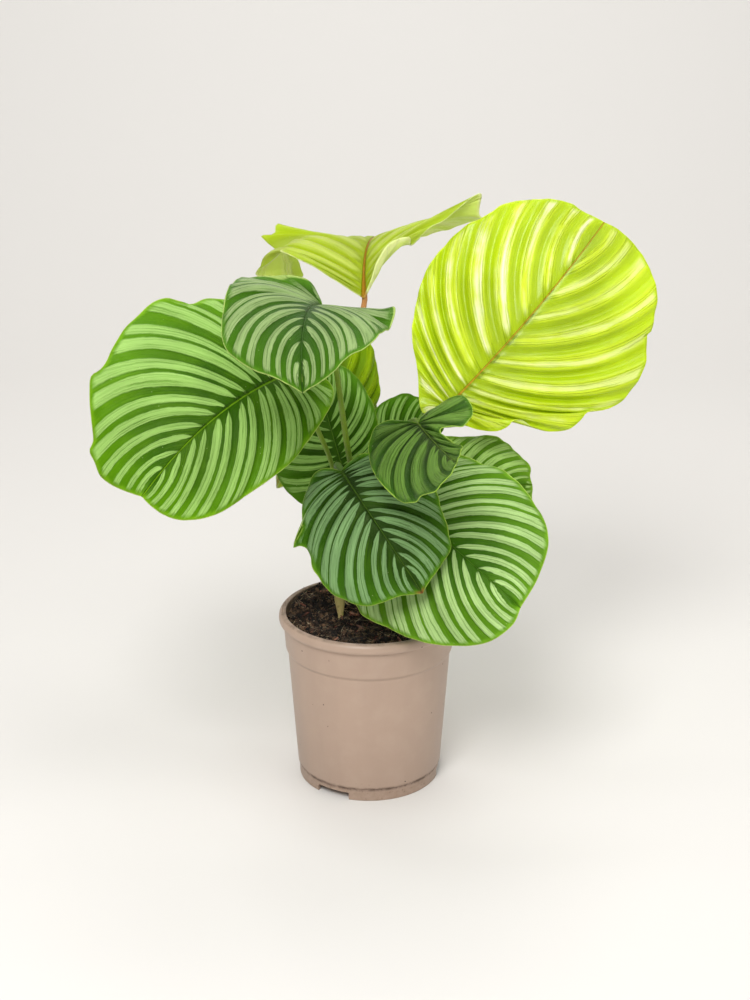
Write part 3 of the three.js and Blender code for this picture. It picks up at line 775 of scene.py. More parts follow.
def stripe_effect():
    """The stripes along the veins: a wide dark band, then two pale stripes with a thin dark line between.

    Each pale stripe starts as a point beside the midrib and fades out in the margin. The higher joined is,
    the more often such a pair is one wide soft stripe. Lengths are in mm.
    """
    name = "calathea_stripes"
    if name in bpy.data.node_groups:
        return bpy.data.node_groups[name]
    tree, bench, given, result = new_effect(
        name, ["share", "line", "joined", "rib", "seed"],
        ["pale", "veinlets", "margin", "edge", "midrib", "streaks", "glints", "outwards"],
    )
    rank, out, run, vein = map(bench.field, ("rank", "out", "run", "vein"))
    from_rib, from_edge = bench.field("from_rib"), bench.field("from_edge")
    seed = given["seed"] + bench.field("half") * 17.0
    along_vein = bench.vector(vein, out * 0.5, seed)

    def grain(scale, *detail):
        return bench.noise(bench.stretched(along_vein, (*scale, 1)), 1.0, *detail)

    wobble = bench.noise(along_vein, 2.2) - 0.5
    fray = grain((9, 26), 3.0) - 0.5
    phase = vein + wobble * 0.22 + fray * 0.05
    band = bench.math("ROUND", phase)
    away = abs(phase - band)
    luck = bench.luck(band, seed, 0.0)
    own_luck = bench.luck(bench.math("FLOOR", phase * 2.0), seed, 3.0)
    pair_luck = bench.luck(bench.math("FLOOR", phase), seed, 5.0)

    dark_half = given["share"] * 0.5 * (luck * 0.4 + 0.82)
    line_half = given["line"] * 0.5 * bench.ramp(rank, 0.62, 0.95, 1.0, 2.4) * (luck * 0.8 + 0.6)
    far_side = 0.5 - line_half
    aside = (away - (far_side + dark_half) * 0.5) / ((far_side - dark_half) * 0.5)
    joined = bench.math("GREATER_THAN", given["joined"], pair_luck)
    off = abs(aside) + joined * ((0.5 - away) / (0.5 - dark_half) - abs(aside))

    inside = bench.ramp(off, 0.86 - joined * 0.4, 1.12, 1.0, 0.0)
    start = 0.4 + off**1.6 * 6.5 + own_luck * 2.0 + fray * 4.0
    begun = bench.ramp(run - start, -0.9, joined * 5.0 + 0.9)
    stop = 0.2 + off**2.0 * 0.8 + own_luck * 0.9 + fray * 5.0
    ended = bench.ramp(from_edge - stop, -0.8, 2.6)

    centre_line = bench.ramp(abs(aside + own_luck * 0.3), 0.04, 0.17, 0.6, 0.0)
    side_line = bench.ramp(abs(off - 0.62), 0.02, 0.11, 0.3, 0.0)
    joined_line = bench.ramp(abs(off - 0.32), 0.02, 0.09, 0.55, 0.0) * joined
    broken = bench.ramp(grain((5, 5), 3.0), 0.36, 0.54)
    rib_width = ((1.0 - rank) ** 2.2 * 0.9 + 0.3) * given["rib"]
    masks = dict(
        pale=inside * begun * ended,
        veinlets=(centre_line + side_line + joined_line) * broken,
        margin=bench.ramp(from_edge - wobble * 2.5 + fray * 2.5, 0.2, 3.2, 1.0, 0.0),
        edge=bench.ramp(from_edge, 0.15, 0.6, 1.0, 0.0),
        midrib=bench.ramp(from_rib / rib_width, 0.6, 1.25, 1.0, 0.0),
        streaks=grain((22, 3), 4.0, 0.6),
        # glints: mask for painted highlights, raised in the middle of each pale stripe
        glints=grain((2.6, 3.0), 3.0) + bench.ramp(off, 0.0, 0.9, 0.14, -0.1),
        outwards=bench.ramp(out + wobble * 0.5, 0.15, 0.95),
    )
    for label, mask in masks.items():
        bench.put(result[label], mask)
    return tree


def leaf_material(name, look, seed, strength):
    """A leaf face: the stripes in this look's colours, with streaks along the veins and a satin gloss."""
    material, bench = new_material(name)
    masks = use_effect(
        bench, stripe_effect(), share=look["share"], line=look["line"], joined=look["joined"],
        rib=look["rib_width"], seed=float(seed),
    )
    place = bench.place()
    patches = bench.noise(place, 60, 3.0)
    streaked = bench.ramp(masks["streaks"], 0.3, 0.75)
    pale = bench.mix(streaked * look["streaks"], look["pale"], look["outer"])
    # painted highlight: near-white streaks are painted into the pale stripes as glints of light, fewer on the
    # right half
    if "bright" in look:
        glints = bench.ramp(masks["glints"] + patches * 0.35, 0.66, 0.92)
        pale = bench.mix(glints * bench.ramp(bench.field("half"), 0.0, 1.0, 0.9, 0.42), pale, look["bright"])
    pale = bench.mix(masks["veinlets"] * 0.8, pale, look["outer"])
    dark = bench.mix(masks["outwards"], look["dark"], look["outer"])
    dark = bench.mix(streaked * bench.ramp(patches, 0.35, 0.7) * 0.35, dark, look["margin"])
    colour = bench.layered(
        dark, (masks["pale"], strength * look["strength"], pale), (masks["margin"], 0.7, look["margin"]),
        (masks["edge"], 0.8, look["edge"]), (masks["midrib"], 0.9, look["rib"]),
    )
    if "dry_tip" in look:
        near_edge = bench.ramp(bench.field("from_edge"), 0.5, 2.4, 0.9, 0.0)
        colour = bench.mix(bench.ramp(bench.field("rank"), 0.97, 1.0) * near_edge, colour, look["dry_tip"])
    colour = bench.dimmed(colour, bench.ramp(bench.noise(place, 25), 0.3, 0.7, 0.9, 1.1))
    colour = bench.layered(colour, (bench.spots(place, 420, 0.13, 0.08), 0.35, "d6e0a8"))
    height = (
        masks["streaks"] * 0.6 - masks["veinlets"] * 0.7 + masks["pale"] * 0.45 - masks["midrib"] * 1.2
        + bench.noise(place, 900) * 0.16
    )
    return finish(
        material, bench, Base_Color=colour, Normal=bench.bump(height, 0.0010),
        Roughness=look["rough"] + (patches - 0.5) * 0.16 + streaked * 0.06,
        Specular_IOR_Level=look["specular"], Specular_Tint=(0.85, 1.0, 0.5, 1.0),
        Coat_Weight=look["coat"], Coat_Roughness=0.24,
        Subsurface_Weight=look["soft"], Subsurface_Radius=(0.8, 1.0, 0.25), Subsurface_Scale=0.002,
    )


def stalk_material(name, top):
    """A stalk: cream where it leaves the soil, green above, with fine lengthwise ribs."""
    material, bench = new_material(name)
    along = bench.field("along")
    fibres = bench.noise(bench.vector(bench.field("around") * 9.0, along * 5.0, 0.0), 2.0, 3.0, 0.6)
    colour = bench.mix(bench.ramp(fibres, 0.35, 0.7), "809c14", "64880e")
    colour = bench.mix(bench.ramp(along, 0.02, 0.25), "fae09a", colour)
    spotted = bench.ramp(bench.noise(bench.place(), 260, 3.0), 0.55, 0.72)
    colour = bench.layered(colour, (bench.ramp(along, 0.6, 1.0), 1.0, top), (spotted, 0.3, "7a5a2c"))
    return finish(
        material, bench, Base_Color=colour, Roughness=bench.ramp(fibres, 0.2, 0.8, 0.36, 0.5),
        Normal=bench.bump(fibres, 0.0003),
    )


def pot_material(settings):
    """Satin moulded plastic with flow marks, a dusty foot, a dirty mouth with painted shade inside, and a few
    specks.
    """
    material, bench = new_material("moulded_taupe_plastic")
    place = bench.place()
    z = bench.made("ShaderNodeSeparateXYZ", (place,), "Z")
    radius = bench.made("ShaderNodeVectorMath", (bench.stretched(place, (1, 1, 0)),), "Value", operation="LENGTH")
    flow = bench.noise(bench.stretched(place, (45, 45, 5)), 1.0, 4.0, 0.55)
    mottle = bench.noise(place, 90, 4.0)
    patchy = bench.noise(place, 130, 5.0, 0.7)
    plain, shaded = (tuple(c * share for c in settings.colour) + (1.0,) for share in (1.0, 0.94))
    tone = bench.mix(bench.ramp(flow, 0.25, 0.75), plain, shaded)
    tone = bench.mix(bench.ramp(mottle, 0.4, 0.75, 0.0, 0.12), tone, "c8b4a2")
    tone = bench.dimmed(tone, bench.ramp(z, 0.0, 0.075, 0.9, 1.0))
    foot, mouth = POT["foot_height"] * MM, POT["mouth_radius"]
    seam = bench.ramp(abs(z - (foot + 0.0003)), 0.0004, 0.0024, 1.0, 0.0)
    grime = seam * bench.ramp(patchy, 0.36, 0.62, 0.25, 1.0)
    dust = bench.ramp(z, foot * 0.6, foot * 1.1, 1.0, 0.0) * bench.ramp(patchy, 0.35, 0.7, 0.2, 1.0)
    crumbs = bench.ramp(z, 0.0, 0.02, 1.0, 0.0) * bench.ramp(bench.noise(place, 520, 3.0), 0.62, 0.7)
    rim = bench.ramp(z, (POT["height"] - 1.2) * MM, POT["height"] * MM) * bench.ramp(patchy, 0.4, 0.62, 0.1, 0.6)
    # dirt and painted shade: the inner wall below the mouth is darkened, as soil dirt and as the shade inside the
    # pot
    inside_dirt_and_shade = bench.ramp(radius, (mouth + 0.1) * MM, (mouth + 0.5) * MM, 1.0, 0.0) * bench.ramp(z, 0.09, 0.1)
    tone = bench.layered(
        tone, (dust, 0.6, "8c7460"), (grime, 0.8, "4a3426"), (crumbs, 0.45, "5a4434"), (rim, 1.0, "6e5a4c"),
        (inside_dirt_and_shade * bench.ramp(patchy, 0.3, 0.6, 0.6, 1.0), 0.85, "3a2c24"),
        (bench.spots(place, 84, 0.055, 0.9), 0.85, "2a1e18"),
        (bench.spots(bench.stretched(place, (1, 1, 1.3)), 48, 0.03, 0.5), 0.7, "efe6da"),
    )
    return finish(
        material, bench, Base_Color=tone, Roughness=settings.roughness + (mottle - 0.5) * 0.22 + grime * 0.3,
        Normal=bench.bump(bench.noise(place, 1500) * 0.25 + flow * 1.6, 0.0002, 0.6),
    )


def soil_material(name, dark, light, scale):
    """Moist peat: each crumb has its own tint between black-brown and reddish, with finer bits on it."""
    material, bench = new_material(name)
    place = bench.place()
    coarse = bench.noise(place, scale, 5.0, 0.7)
    bits = bench.noise(place, scale * 4, 3.0, 0.6)
    tone = bench.mix(bench.ramp(coarse + bench.field("tint") * 0.5, 0.62, 1.1), dark, light)
    tone = bench.mix(bench.ramp(bits, 0.58, 0.72, 0.0, 0.5), tone, "8a5a3e")
    # painted shade: where the coarse noise that shapes the bump's hollows is low, the colour goes nearly black
    tone = bench.mix(bench.ramp(coarse, 0.3, 0.46, 0.9, 0.0), tone, "120a06")
    tone = bench.dimmed(tone, bench.ramp(bench.noise(place, 95, 3.0, 0.6), 0.36, 0.64, 0.35, 1.35))
    return finish(
        material, bench, Base_Color=tone, Roughness=bench.ramp(bits, 0.3, 0.7, 0.55, 1.0),
        Normal=bench.bump(coarse + bits, 0.0012),
    )


def crown_material():
    """The fleshy skin of the root crown, with rings round it."""
    material, bench = new_material("root_crown_skin")
    rings = bench.noise(bench.stretched(bench.place(), (60, 60, 400)), 1.0, 4.0, 0.6)
    return finish(
        material, bench, Base_Color=bench.mix(rings, "d8c89a", "8a6a44"),
        Roughness=bench.ramp(rings, 0.2, 0.8, 0.55, 0.85), Normal=bench.bump(rings, 0.0006),
    )


def backdrop_material(settings):
    """A matt pale floor that rises behind the plant."""
    material, bench = new_material("pale_backdrop")
    wash = bench.noise(bench.place(), 1.2)
    tone = bench.mix(wash * 0.06, (*settings.colour, 1.0), (0.7, 0.68, 0.66, 1.0))
    return finish(material, bench, Base_Color=tone, Roughness=bench.ramp(wash, 0.0, 1.0, 0.7, 0.8))


# ---------------------------------------------------------------- settings


class CalatheaPotSettings(bpy.types.PropertyGroup):
    colour: FloatVectorProperty(
        name="Colour", description="The plastic's colour", subtype="COLOR", min=0, max=1,
        default=linear("b39a88")[:3],
    )
    roughness: FloatProperty(name="Roughness", description="Of the plastic", default=0.42, min=0, max=1)
    segments: IntProperty(name="Segments", description="Round the pot", default=144, min=24, max=256)


class CalatheaSoilSettings(bpy.types.PropertyGroup):
    crumbs: IntProperty(name="Crumbs", description="Loose crumbs of peat", default=6000, min=0)
    bark: IntProperty(name="Bark", description="Bits of bark", default=130, min=0)
    fibres: IntProperty(name="Fibres", description="Loose fibres", default=1500, min=0)
    lump: FloatProperty(
        name="Lump", description="How far the surface rises and falls", default=0.0036, unit="LENGTH", min=0,
    )


class CalatheaStalkSettings(bpy.types.PropertyGroup):
    foot_radius: FloatProperty(
        name="Foot radius", description="Where a stalk leaves the soil", default=0.0024, unit="LENGTH", min=0,
    )
    top_radius: FloatProperty(
        name="Top radius", description="Under the blade", default=0.0018, unit="LENGTH", min=0,
    )


class CalatheaLeafSettings(bpy.types.PropertyGroup):
    thickness: FloatProperty(
        name="Thickness", description="Of a blade", default=BLADE["thickness"] * MM, unit="LENGTH", min=0.0001,
    )
    rows: IntProperty(name="Rows", description="Steps along a blade", default=128, min=18)
    columns: IntProperty(name="Columns", description="Steps from margin to margin", default=52, min=8)


class CalatheaStageSettings(bpy.types.PropertyGroup):
    colour: FloatVectorProperty(
        name="Colour", description="The backdrop's colour", subtype="COLOR", min=0, max=1,
        default=(0.77, 0.75, 0.72),
    )
    key: FloatProperty(name="Key light", description="Power of the main softbox", default=27, unit="POWER")
    fill: FloatProperty(name="Fill light", description="Power of the side softbox", default=5, unit="POWER")


# ---------------------------------------------------------------- operators


class CALATHEA_OT_pot(bpy.types.Operator):
    """Turn the nursery pot, cut its notches and drain holes"""

    bl_idname = "calathea.pot"
    bl_label = "Pot"

    def execute(self, context):
        settings = context.scene.calathea_pot
        pot = spun("pot_shell", rounded(self.corners(**POT)), settings.segments)
        cutters = []
        width = 2 * POT["foot_radius"] * math.sin(math.radians(NOTCHES["sweep"] / 2))
        for direction in NOTCHES["directions"]:
            let_go()
            turn = math.radians(direction)
            middle = (NOTCHES["centre"] * MM * math.cos(turn), NOTCHES["centre"] * MM * math.sin(turn), 0)
            bpy.ops.mesh.primitive_cube_add(size=1, location=middle, rotation=(0, 0, turn))
            cutter = bpy.context.object
            cutter.scale = (NOTCHES["depth"] * MM, width * MM, 2 * NOTCHES["height"] * MM)
            bpy.ops.object.transform_apply(location=True, rotation=True, scale=True)
            edit(lambda: bpy.ops.mesh.bevel(offset=NOTCHES["ease"] * MM, segments=3))
            cutters.append(cutter)
        for i in range(DRAIN["count"]):
            let_go()
            turn = i / DRAIN["count"] * math.tau + DRAIN["first"]
            floor = POT["floor"] * MM
            middle = (DRAIN["circle"] * MM * math.cos(turn), DRAIN["circle"] * MM * math.sin(turn), floor)
            bpy.ops.mesh.primitive_cylinder_add(
                vertices=32, radius=DRAIN["radius"] * MM, depth=2 * floor, location=middle,
            )
            bpy.ops.object.transform_apply(location=True, rotation=True, scale=True)
            cutters.append(bpy.context.object)
        cutter = take(cutters[0])
        for each in cutters:
            each.select_set(True)
        bpy.ops.object.join()
        modify(pot, "BOOLEAN", object=cutter, operation="DIFFERENCE", solver="EXACT")
        bpy.data.objects.remove(cutter)
        take(pot)
        edit(weld)
        bpy.ops.object.shade_smooth_by_angle(angle=math.radians(38))
        dress(pot, pot_material(settings))
        hand_over(pot, "pot", "pot")
        return {"FINISHED"}

    def corners(
        self, height, lip_radius, lip_height, mouth_radius, collar_top, collar_bottom, collar_height, body_top,
        body_bottom, foot_radius, foot_height, foot_width, wall, floor, pad, crease,
    ):
        """The profile's corners, up the outside and down the inside, each with how much it is eased."""
        lip = height - lip_height
        step = lip - collar_height
        inner_foot, inner_floor = foot_radius - foot_width, floor + wall
        return [
            (0, 0, 0), (pad, 0, 0.4), (pad + 1.5, floor, 0.8), (inner_foot, floor, 0.6), (inner_foot, 0, 0.4),
            (foot_radius, 0, 0.7), (foot_radius, foot_height, 0.2), (body_bottom, foot_height + 1, 0.5),
            (body_top, step, 0.5), (collar_bottom, step + crease, 1.2), (collar_top, lip, 0.35),
            (lip_radius - 0.8, lip, 0.5), (lip_radius, lip + 1.6, 1.0), (lip_radius - 0.3, height - 1.7, 1.4),
            (lip_radius - 1.9, height - 0.1, 1.0), (lip_radius - 2.3, height - 0.1, 0.1),
            (lip_radius - 2.5, height - 0.6, 0.1), (lip_radius - 2.7, height, 0.1),
            (lip_radius - 3.5, height, 0.1), (lip_radius - 3.7, height - 0.5, 0.1),
            (lip_radius - 3.9, height, 0.1), (mouth_radius + 0.5, height, 0.4),
            (mouth_radius, height - 1.6, 0.6), (collar_top - wall, lip - 1, 0.4),
            (collar_bottom - wall, step + crease + 1, 0.6), (body_top - wall, step + 1, 0.6),
            (body_bottom - wall, inner_floor + 1.5, 0.8), (body_bottom - wall - 1.5, inner_floor, 0.8),
            (0, inner_floor, 0),
        ]


def soil_rise(x, y):
    """Height of the soil's surface over its mean, as a share of the lump setting."""
    return sum(noise.noise(Vector((x, y, 0.0)) * scale) * share for scale, share in SOIL_LUMPS)


def soil_heap(x, y):
    """How far the soil is heaped up towards the back left."""
    out = (x * SOIL_HEAP["towards"][0] + y * SOIL_HEAP["towards"][1]) / MM - SOIL_HEAP["start"]
    return SOIL_HEAP["rise"] * MM * min(1.0, max(0.0, out / SOIL_HEAP["run"])) ** SOIL_HEAP["power"]


class CALATHEA_OT_soil(bpy.types.Operator):
    """Fill the pot with peat, with loose crumbs, bark and fibres on it"""

    bl_idname = "calathea.soil"
    bl_label = "Soil"

    def execute(self, context):
        settings = context.scene.calathea_soil
        wall, step = POT["wall"] + 0.4, POT["height"] - POT["lip_height"] - POT["collar_height"]
        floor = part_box("soil")[0].z / MM
        side = [
            (0, floor), (POT["body_bottom"] - wall - 1.5, floor), (POT["body_bottom"] - wall, floor + 1.5),
            (POT["body_top"] - wall, step + 1.3), (POT["collar_bottom"] - wall, step + 3.3),
            (SOIL_RADIUS, SOIL_TOP - 0.6),
        ]
        surface = [(radius, SOIL_TOP) for radius in np.append(np.arange(SOIL_RADIUS - 0.5, 0.5, -0.6), 0)]
        bed = spun("soil_bed", side + surface, 240)
        for vertex in bed.data.vertices:
            x, y, z = vertex.co
            inside = min(1.0, max(0.0, (SOIL_RADIUS * MM - math.hypot(x, y)) / 0.004))
            if z > (SOIL_TOP - 0.3) * MM:
                heap = soil_heap(x, y)
                height = SOIL_TOP * MM + settings.lump * (soil_rise(x, y) * inside - 0.3 * (1 - inside)) + heap
                vertex.co = (x * (1 + heap), y * (1 + heap), height)
        take(bed)
        bpy.ops.object.shade_smooth()
        give_values(bed, tint=[0.4 + 0.6 * noise.noise(vertex.co * 300) for vertex in bed.data.vertices])
        peat = soil_material("moist_peat", "0c0603", "8e6e54", 420)
        dress(bed, peat)
        hand_over(bed, "soil", "soil")
        draw = random.Random(7)
        self.scatter("peat_crumbs", settings.crumbs, draw, peat, self.crumb)
        bark = soil_material("bark", "7c4436", "e0a288", 300)
        self.scatter("bark_bits", settings.bark, draw, bark, self.flake)
        straw = soil_material("peat_fibre", "6a4830", "ecd6b4", 300)
        self.scatter("peat_fibres", settings.fibres, draw, straw, self.fibre)
        return {"FINISHED"}

    def scatter(self, name, count, draw, material, shape):
        """Lays copies of a shape on the soil, as one piece."""
        lump = bpy.context.scene.calathea_soil.lump
        vertices, faces, tints = [], [], []
        for _ in range(count):
            radius = LOOSE_RADIUS * MM * math.sqrt(draw.random())
            turn = draw.uniform(0, math.tau)
            x, y = radius * math.cos(turn), radius * math.sin(turn)
            points, sides, sink = shape(draw)
            spin = Matrix.Rotation(draw.uniform(0, math.tau), 3, "Z")
            here = Vector((x, y, SOIL_TOP * MM + lump * soil_rise(x, y) + soil_heap(x, y) + sink))
            start = len(vertices)
            vertices.extend(spin @ Vector(p) + here for p in points)
            faces.extend(tuple(start + k for k in side) for side in sides)
            tints += [draw.random()] * len(points)
        smooth_piece(name, vertices, faces, material, "soil", tint=tints)

    def crumb(self, draw):
        """A rough lump: a cube pulled towards a ball, with its corners moved about."""
        size = draw.choice(CRUMB_SIZES) * MM
        if draw.random() < LARGE_CRUMBS["share"]:
            size *= LARGE_CRUMBS["larger"]
        corners = itertools.product((-1, 1), repeat=3)
        points = [tuple(size * (c * 0.62 + draw.uniform(-0.42, 0.42)) for c in corner) for corner in corners]
        for axis in range(3):
            for sign in (-1, 1):
                tip = [draw.uniform(-0.2, 0.2) for _ in range(3)]
                tip[axis] += sign * 1.05
                points.append(tuple(size * c for c in tip))
        rings = ((0, 1, 3, 2), (4, 6, 7, 5), (0, 4, 5, 1), (2, 3, 7, 6), (0, 2, 6, 4), (1, 5, 7, 3))
        faces = [(ring[i], ring[(i + 1) % 4], 8 + tip) for tip, ring in enumerate(rings) for i in range(4)]
        return points, faces, size * 0.25

    def flake(self, draw):
        """A bit of bark, longer than wide and thin."""
        long, wide, thin = draw.uniform(1.6, 7.5) * MM, draw.uniform(0.8, 3.2) * MM, draw.uniform(0.3, 0.8) * MM
        tilt = Matrix.Rotation(draw.uniform(-0.6, 0.6), 3, "Y") @ Matrix.Rotation(draw.uniform(-0.5, 0.5), 3, "X")
        points = []
        for layer in (-0.5, 0.5):
            for x, y in ((-0.5, -0.3), (0.1, -0.5), (0.5, -0.2), (0.45, 0.35), (-0.1, 0.5), (-0.5, 0.2)):
                shift = draw.uniform(-0.08, 0.08)
                points.append(tuple(tilt @ Vector(((x + shift) * long, (y - shift) * wide, layer * thin))))
        faces = [tuple(range(5, -1, -1)), tuple(range(6, 12))]
        faces += [(i, (i + 1) % 6, (i + 1) % 6 + 6, i + 6) for i in range(6)]
        return points, faces, thin

    def fibre(self, draw):
        """A thin bent strand."""
        length, thick = draw.uniform(1.5, 7.0) * MM, draw.uniform(0.12, 0.32) * MM
        bow, climb = draw.uniform(-0.35, 0.35), draw.uniform(-0.1, 0.6)
        points, faces = [], []
        for i in range(5):
            t = i / 4
            x, y = (t - 0.5) * length, bow * length * math.sin(math.pi * t)
            z = climb * length * t * t
            taper = thick * (1 - 0.5 * t)
            points += [(x, y + taper, z), (x, y - taper * 0.6, z + taper), (x, y - taper * 0.6, z - taper)]
            if i:
                a = 3 * (i - 1)
                faces += [(a + j, a + (j + 1) % 3, a + 3 + (j + 1) % 3, a + 3 + j) for j in range(3)]
        faces += [(2, 1, 0), (12, 13, 14)]
        return points, faces, 0.2 * MM


class CALATHEA_OT_stalks(bpy.types.Operator):
    """Grow a stalk for each leaf, which runs on under the blade as its rib"""

    bl_idname = "calathea.stalks"
    bl_label = "Stalks"

    def execute(self, context):
        settings = context.scene.calathea_stalks
        for name, leaf in LEAVES.items():
            self.stalk(name, leaf, settings.foot_radius / MM, settings.top_radius / MM)
        self.sheath()
        return {"FINISHED"}

    def tube(self, name, line, radii, along, material, *nodes):
        """A tube from its rings' places and radii, which knows how far along the stalk each ring is."""
        vertices, faces = rings_along(line, radii)
        sides = radii.shape[1]
        around = np.abs(np.arange(sides) / sides * math.tau - math.pi)
        smooth_piece(
            name, np.array(vertices) * MM, faces, material, "stem", *nodes,
            along=np.repeat(along, sides), around=np.tile(around, len(along)),
        )

    def stalk(self, name, leaf, foot, top):
        shape = LeafShape(leaf)
        x, y = leaf["root"]
        place, tangent, normal = (row[0] for row in shape.midrib(np.array([0.0])))
        start = [(x, y, STALK["bottom"]), (x, y, STALK["straight_to"])]
        if name in SHEATH["leaves"]:
            cx, cy = SHEATH["centre"]
            start = [(cx + (x - cx) * k, cy + (y - cy) * k, z) for k, z in SHEATH["stalks"]]
            foot *= SHEATH["slimmer"]
        approach = place - normal * (top + 2 * STALK["drop"]) - tangent * STALK["approach"]
        stalk = [*start, *leaf["via"], approach, place - normal * (top + STALK["drop"])]
        length = centripetal(stalk, 2)[1][-1]
        along = np.linspace(STALK["rib_start"], shape.length * STALK["rib_end"], STALK["rib_steps"])
        rib_place, _, rib_normal = shape.midrib(along)
        rib = top * (0.12 + 0.68 * (1 - along / shape.length) ** 0.8)
        rib_line = rib_place - rib_normal * (rib + STALK["rib_drop"])[:, None]
        line, reached = centripetal([*stalk, *rib_line], STALK["rings"])
        t = reached / length
        radii = np.interp(t, (0, 0.25, 0.9, 1.0), (foot, foot * 0.88, top, top))
        radii *= 1 + 0.16 * hump(t, 0.955, 0.035)
        radii = np.minimum(radii, np.interp(reached, length + along, rib, left=99))
        angles = np.arange(STALK["sides"]) / STALK["sides"] * math.tau
        swelling = 1 + 0.30 * hump(t, 0.06, 0.20)
        groove = 1 - 0.20 * hump(angles, math.pi, 0.5)
        rows = radii[:, None] * swelling[:, None] * np.where(t[:, None] < 1, groove[None, :], 1.0)
        material = stalk_material("stalk_" + name, STALK_TOPS.get(name, STALK["top"]))
        self.tube("stalk_" + name, line, rows, t, material, "stem_" + name)

    def sheath(self):
        heights = np.linspace(SHEATH["heights"][0], SHEATH["heights"][-1], SHEATH["rings"])
        radii = np.interp(heights, SHEATH["heights"], SHEATH["radii"])
        lean = (heights - heights[0]) / (heights[-1] - heights[0])
        (x, y), (dx, dy) = SHEATH["centre"], SHEATH["lean"]
        line = np.column_stack([x + dx * lean, y + dy * lean, heights])
        rows = np.repeat(radii[:, None], SHEATH["sides"], axis=1)
        self.tube("leaf_sheath", line, rows, 0.22 * lean, stalk_material("sheath_skin", STALK["top"]))


class CALATHEA_OT_leaves(bpy.types.Operator):
    """Shape every blade from a flat grid: outline, pleats, waves and curl"""

    bl_idname = "calathea.leaves"
    bl_label = "Leaves"

    def execute(self, context):
        for seed, (name, leaf) in enumerate(LEAVES.items()):
            self.blade(name, leaf, seed, context.scene.calathea_leaves)
        return {"FINISHED"}

    def blade(self, name, leaf, seed, settings):
        shape = LeafShape(leaf)
        let_go()
        bpy.ops.mesh.primitive_grid_add(x_subdivisions=settings.rows, y_subdivisions=settings.columns, size=1)
        piece = bpy.context.object
        piece.name = piece.data.name = "leaf_" + name
        flat = np.array([v.co for v in piece.data.vertices], float)
        rank = np.clip(flat[:, 0] + 0.5, 0, 1)
        aside = np.clip(flat[:, 1] * 2, -1, 1)
        out = 0.225 * (1 - np.cos(np.pi * np.abs(aside))) + 0.55 * np.abs(aside)
        half = (aside < 0).astype(int)
        left = half[:, None] == 0
        spot = np.where(left, shape.vein(rank, out, 0), shape.vein(rank, out, 1))
        along, across = spot.T
        across = np.where(half == 0, np.maximum(across, 0), np.minimum(across, -1e-9))
        away = np.abs(across)
        whole = [shape.vein(rank, np.ones_like(out), k) - shape.vein(rank, np.zeros_like(out), k) for k in (0, 1)]
        run = out * np.linalg.norm(np.where(left, *whole), axis=1)
        split = leaf["split"]
        vein = leaf["bands"] * (rank + BLADE["tip_bands"] * rank**10)
        turn = 2 * np.pi * vein
        pleat = -((1 - split) * np.cos(turn) + split * np.cos(2 * turn)) * leaf["pleat"]
        pleat *= np.sin(np.pi * np.minimum(out, BLADE["fade"]))
        height, count, phase = leaf["wave"]
        wave = height * out**2 * np.sin(2 * np.pi * (count * rank + phase + BLADE["half_phase"] * half))
        scale = BLADE["uneven_scale"]
        uneven = np.array([noise.noise(Vector((a * scale, b * scale, seed * 7.0))) for a, b in spot])
        lift = (pleat + wave) * np.sin(np.pi * rank) ** 0.7 + BLADE["uneven"] * uneven * out
        lift -= BLADE["rib_depth"] * hump(away, 0, BLADE["rib_width"])
        for side, where, width, rise, power in leaf["folds"]:
            lift += (half == side) * rise * hump(rank, where, width) * out**power
        points = shape.pulled(shape.blade(along, across, lift), rank, out, half)
        margin = np.vstack(shape.margins)
        tree = kdtree.KDTree(len(margin))
        for i, (a, b) in enumerate(margin):
            tree.insert((a, b, 0), i)
        tree.balance()
        from_edge = np.array([tree.find((a, b, 0))[2] for a, b in spot])
        from_edge[out > 0.9999] = 0
        piece.data.vertices.foreach_set("co", (points * MM).astype(np.float32).ravel())
        give_values(piece, vein=vein, rank=rank, out=out, run=run, from_rib=away, from_edge=from_edge, half=half)
        piece.data.update()
        take(piece)
        edit(weld)
        upper = {**PLAIN, **LOOKS[leaf["look"]]}
        lower = {**upper, **(YOUNG_SUNLIT_UNDER if leaf["look"] in ("lime", "young_sunlit") else UNDER)}
        dress(
            piece,
            leaf_material("leaf_face_" + name, upper, seed * 3 + 1, 1.0),
            leaf_material("leaf_back_" + name, lower, seed * 3 + 2, 0.7),
        )
        modify(piece, "SOLIDIFY", thickness=settings.thickness, offset=0, material_offset=1, material_offset_rim=0)
        bpy.ops.object.shade_smooth()
        hand_over(piece, "leaf", "blade_" + name)


class CALATHEA_OT_rhizome(bpy.types.Operator):
    """Give the root crown in the soil its skin"""

    bl_idname = "calathea.rhizome"
    bl_label = "Root crown"

    def execute(self, context):
        dress(frame["nodes"]["rhizome"], crown_material())
        return {"FINISHED"}


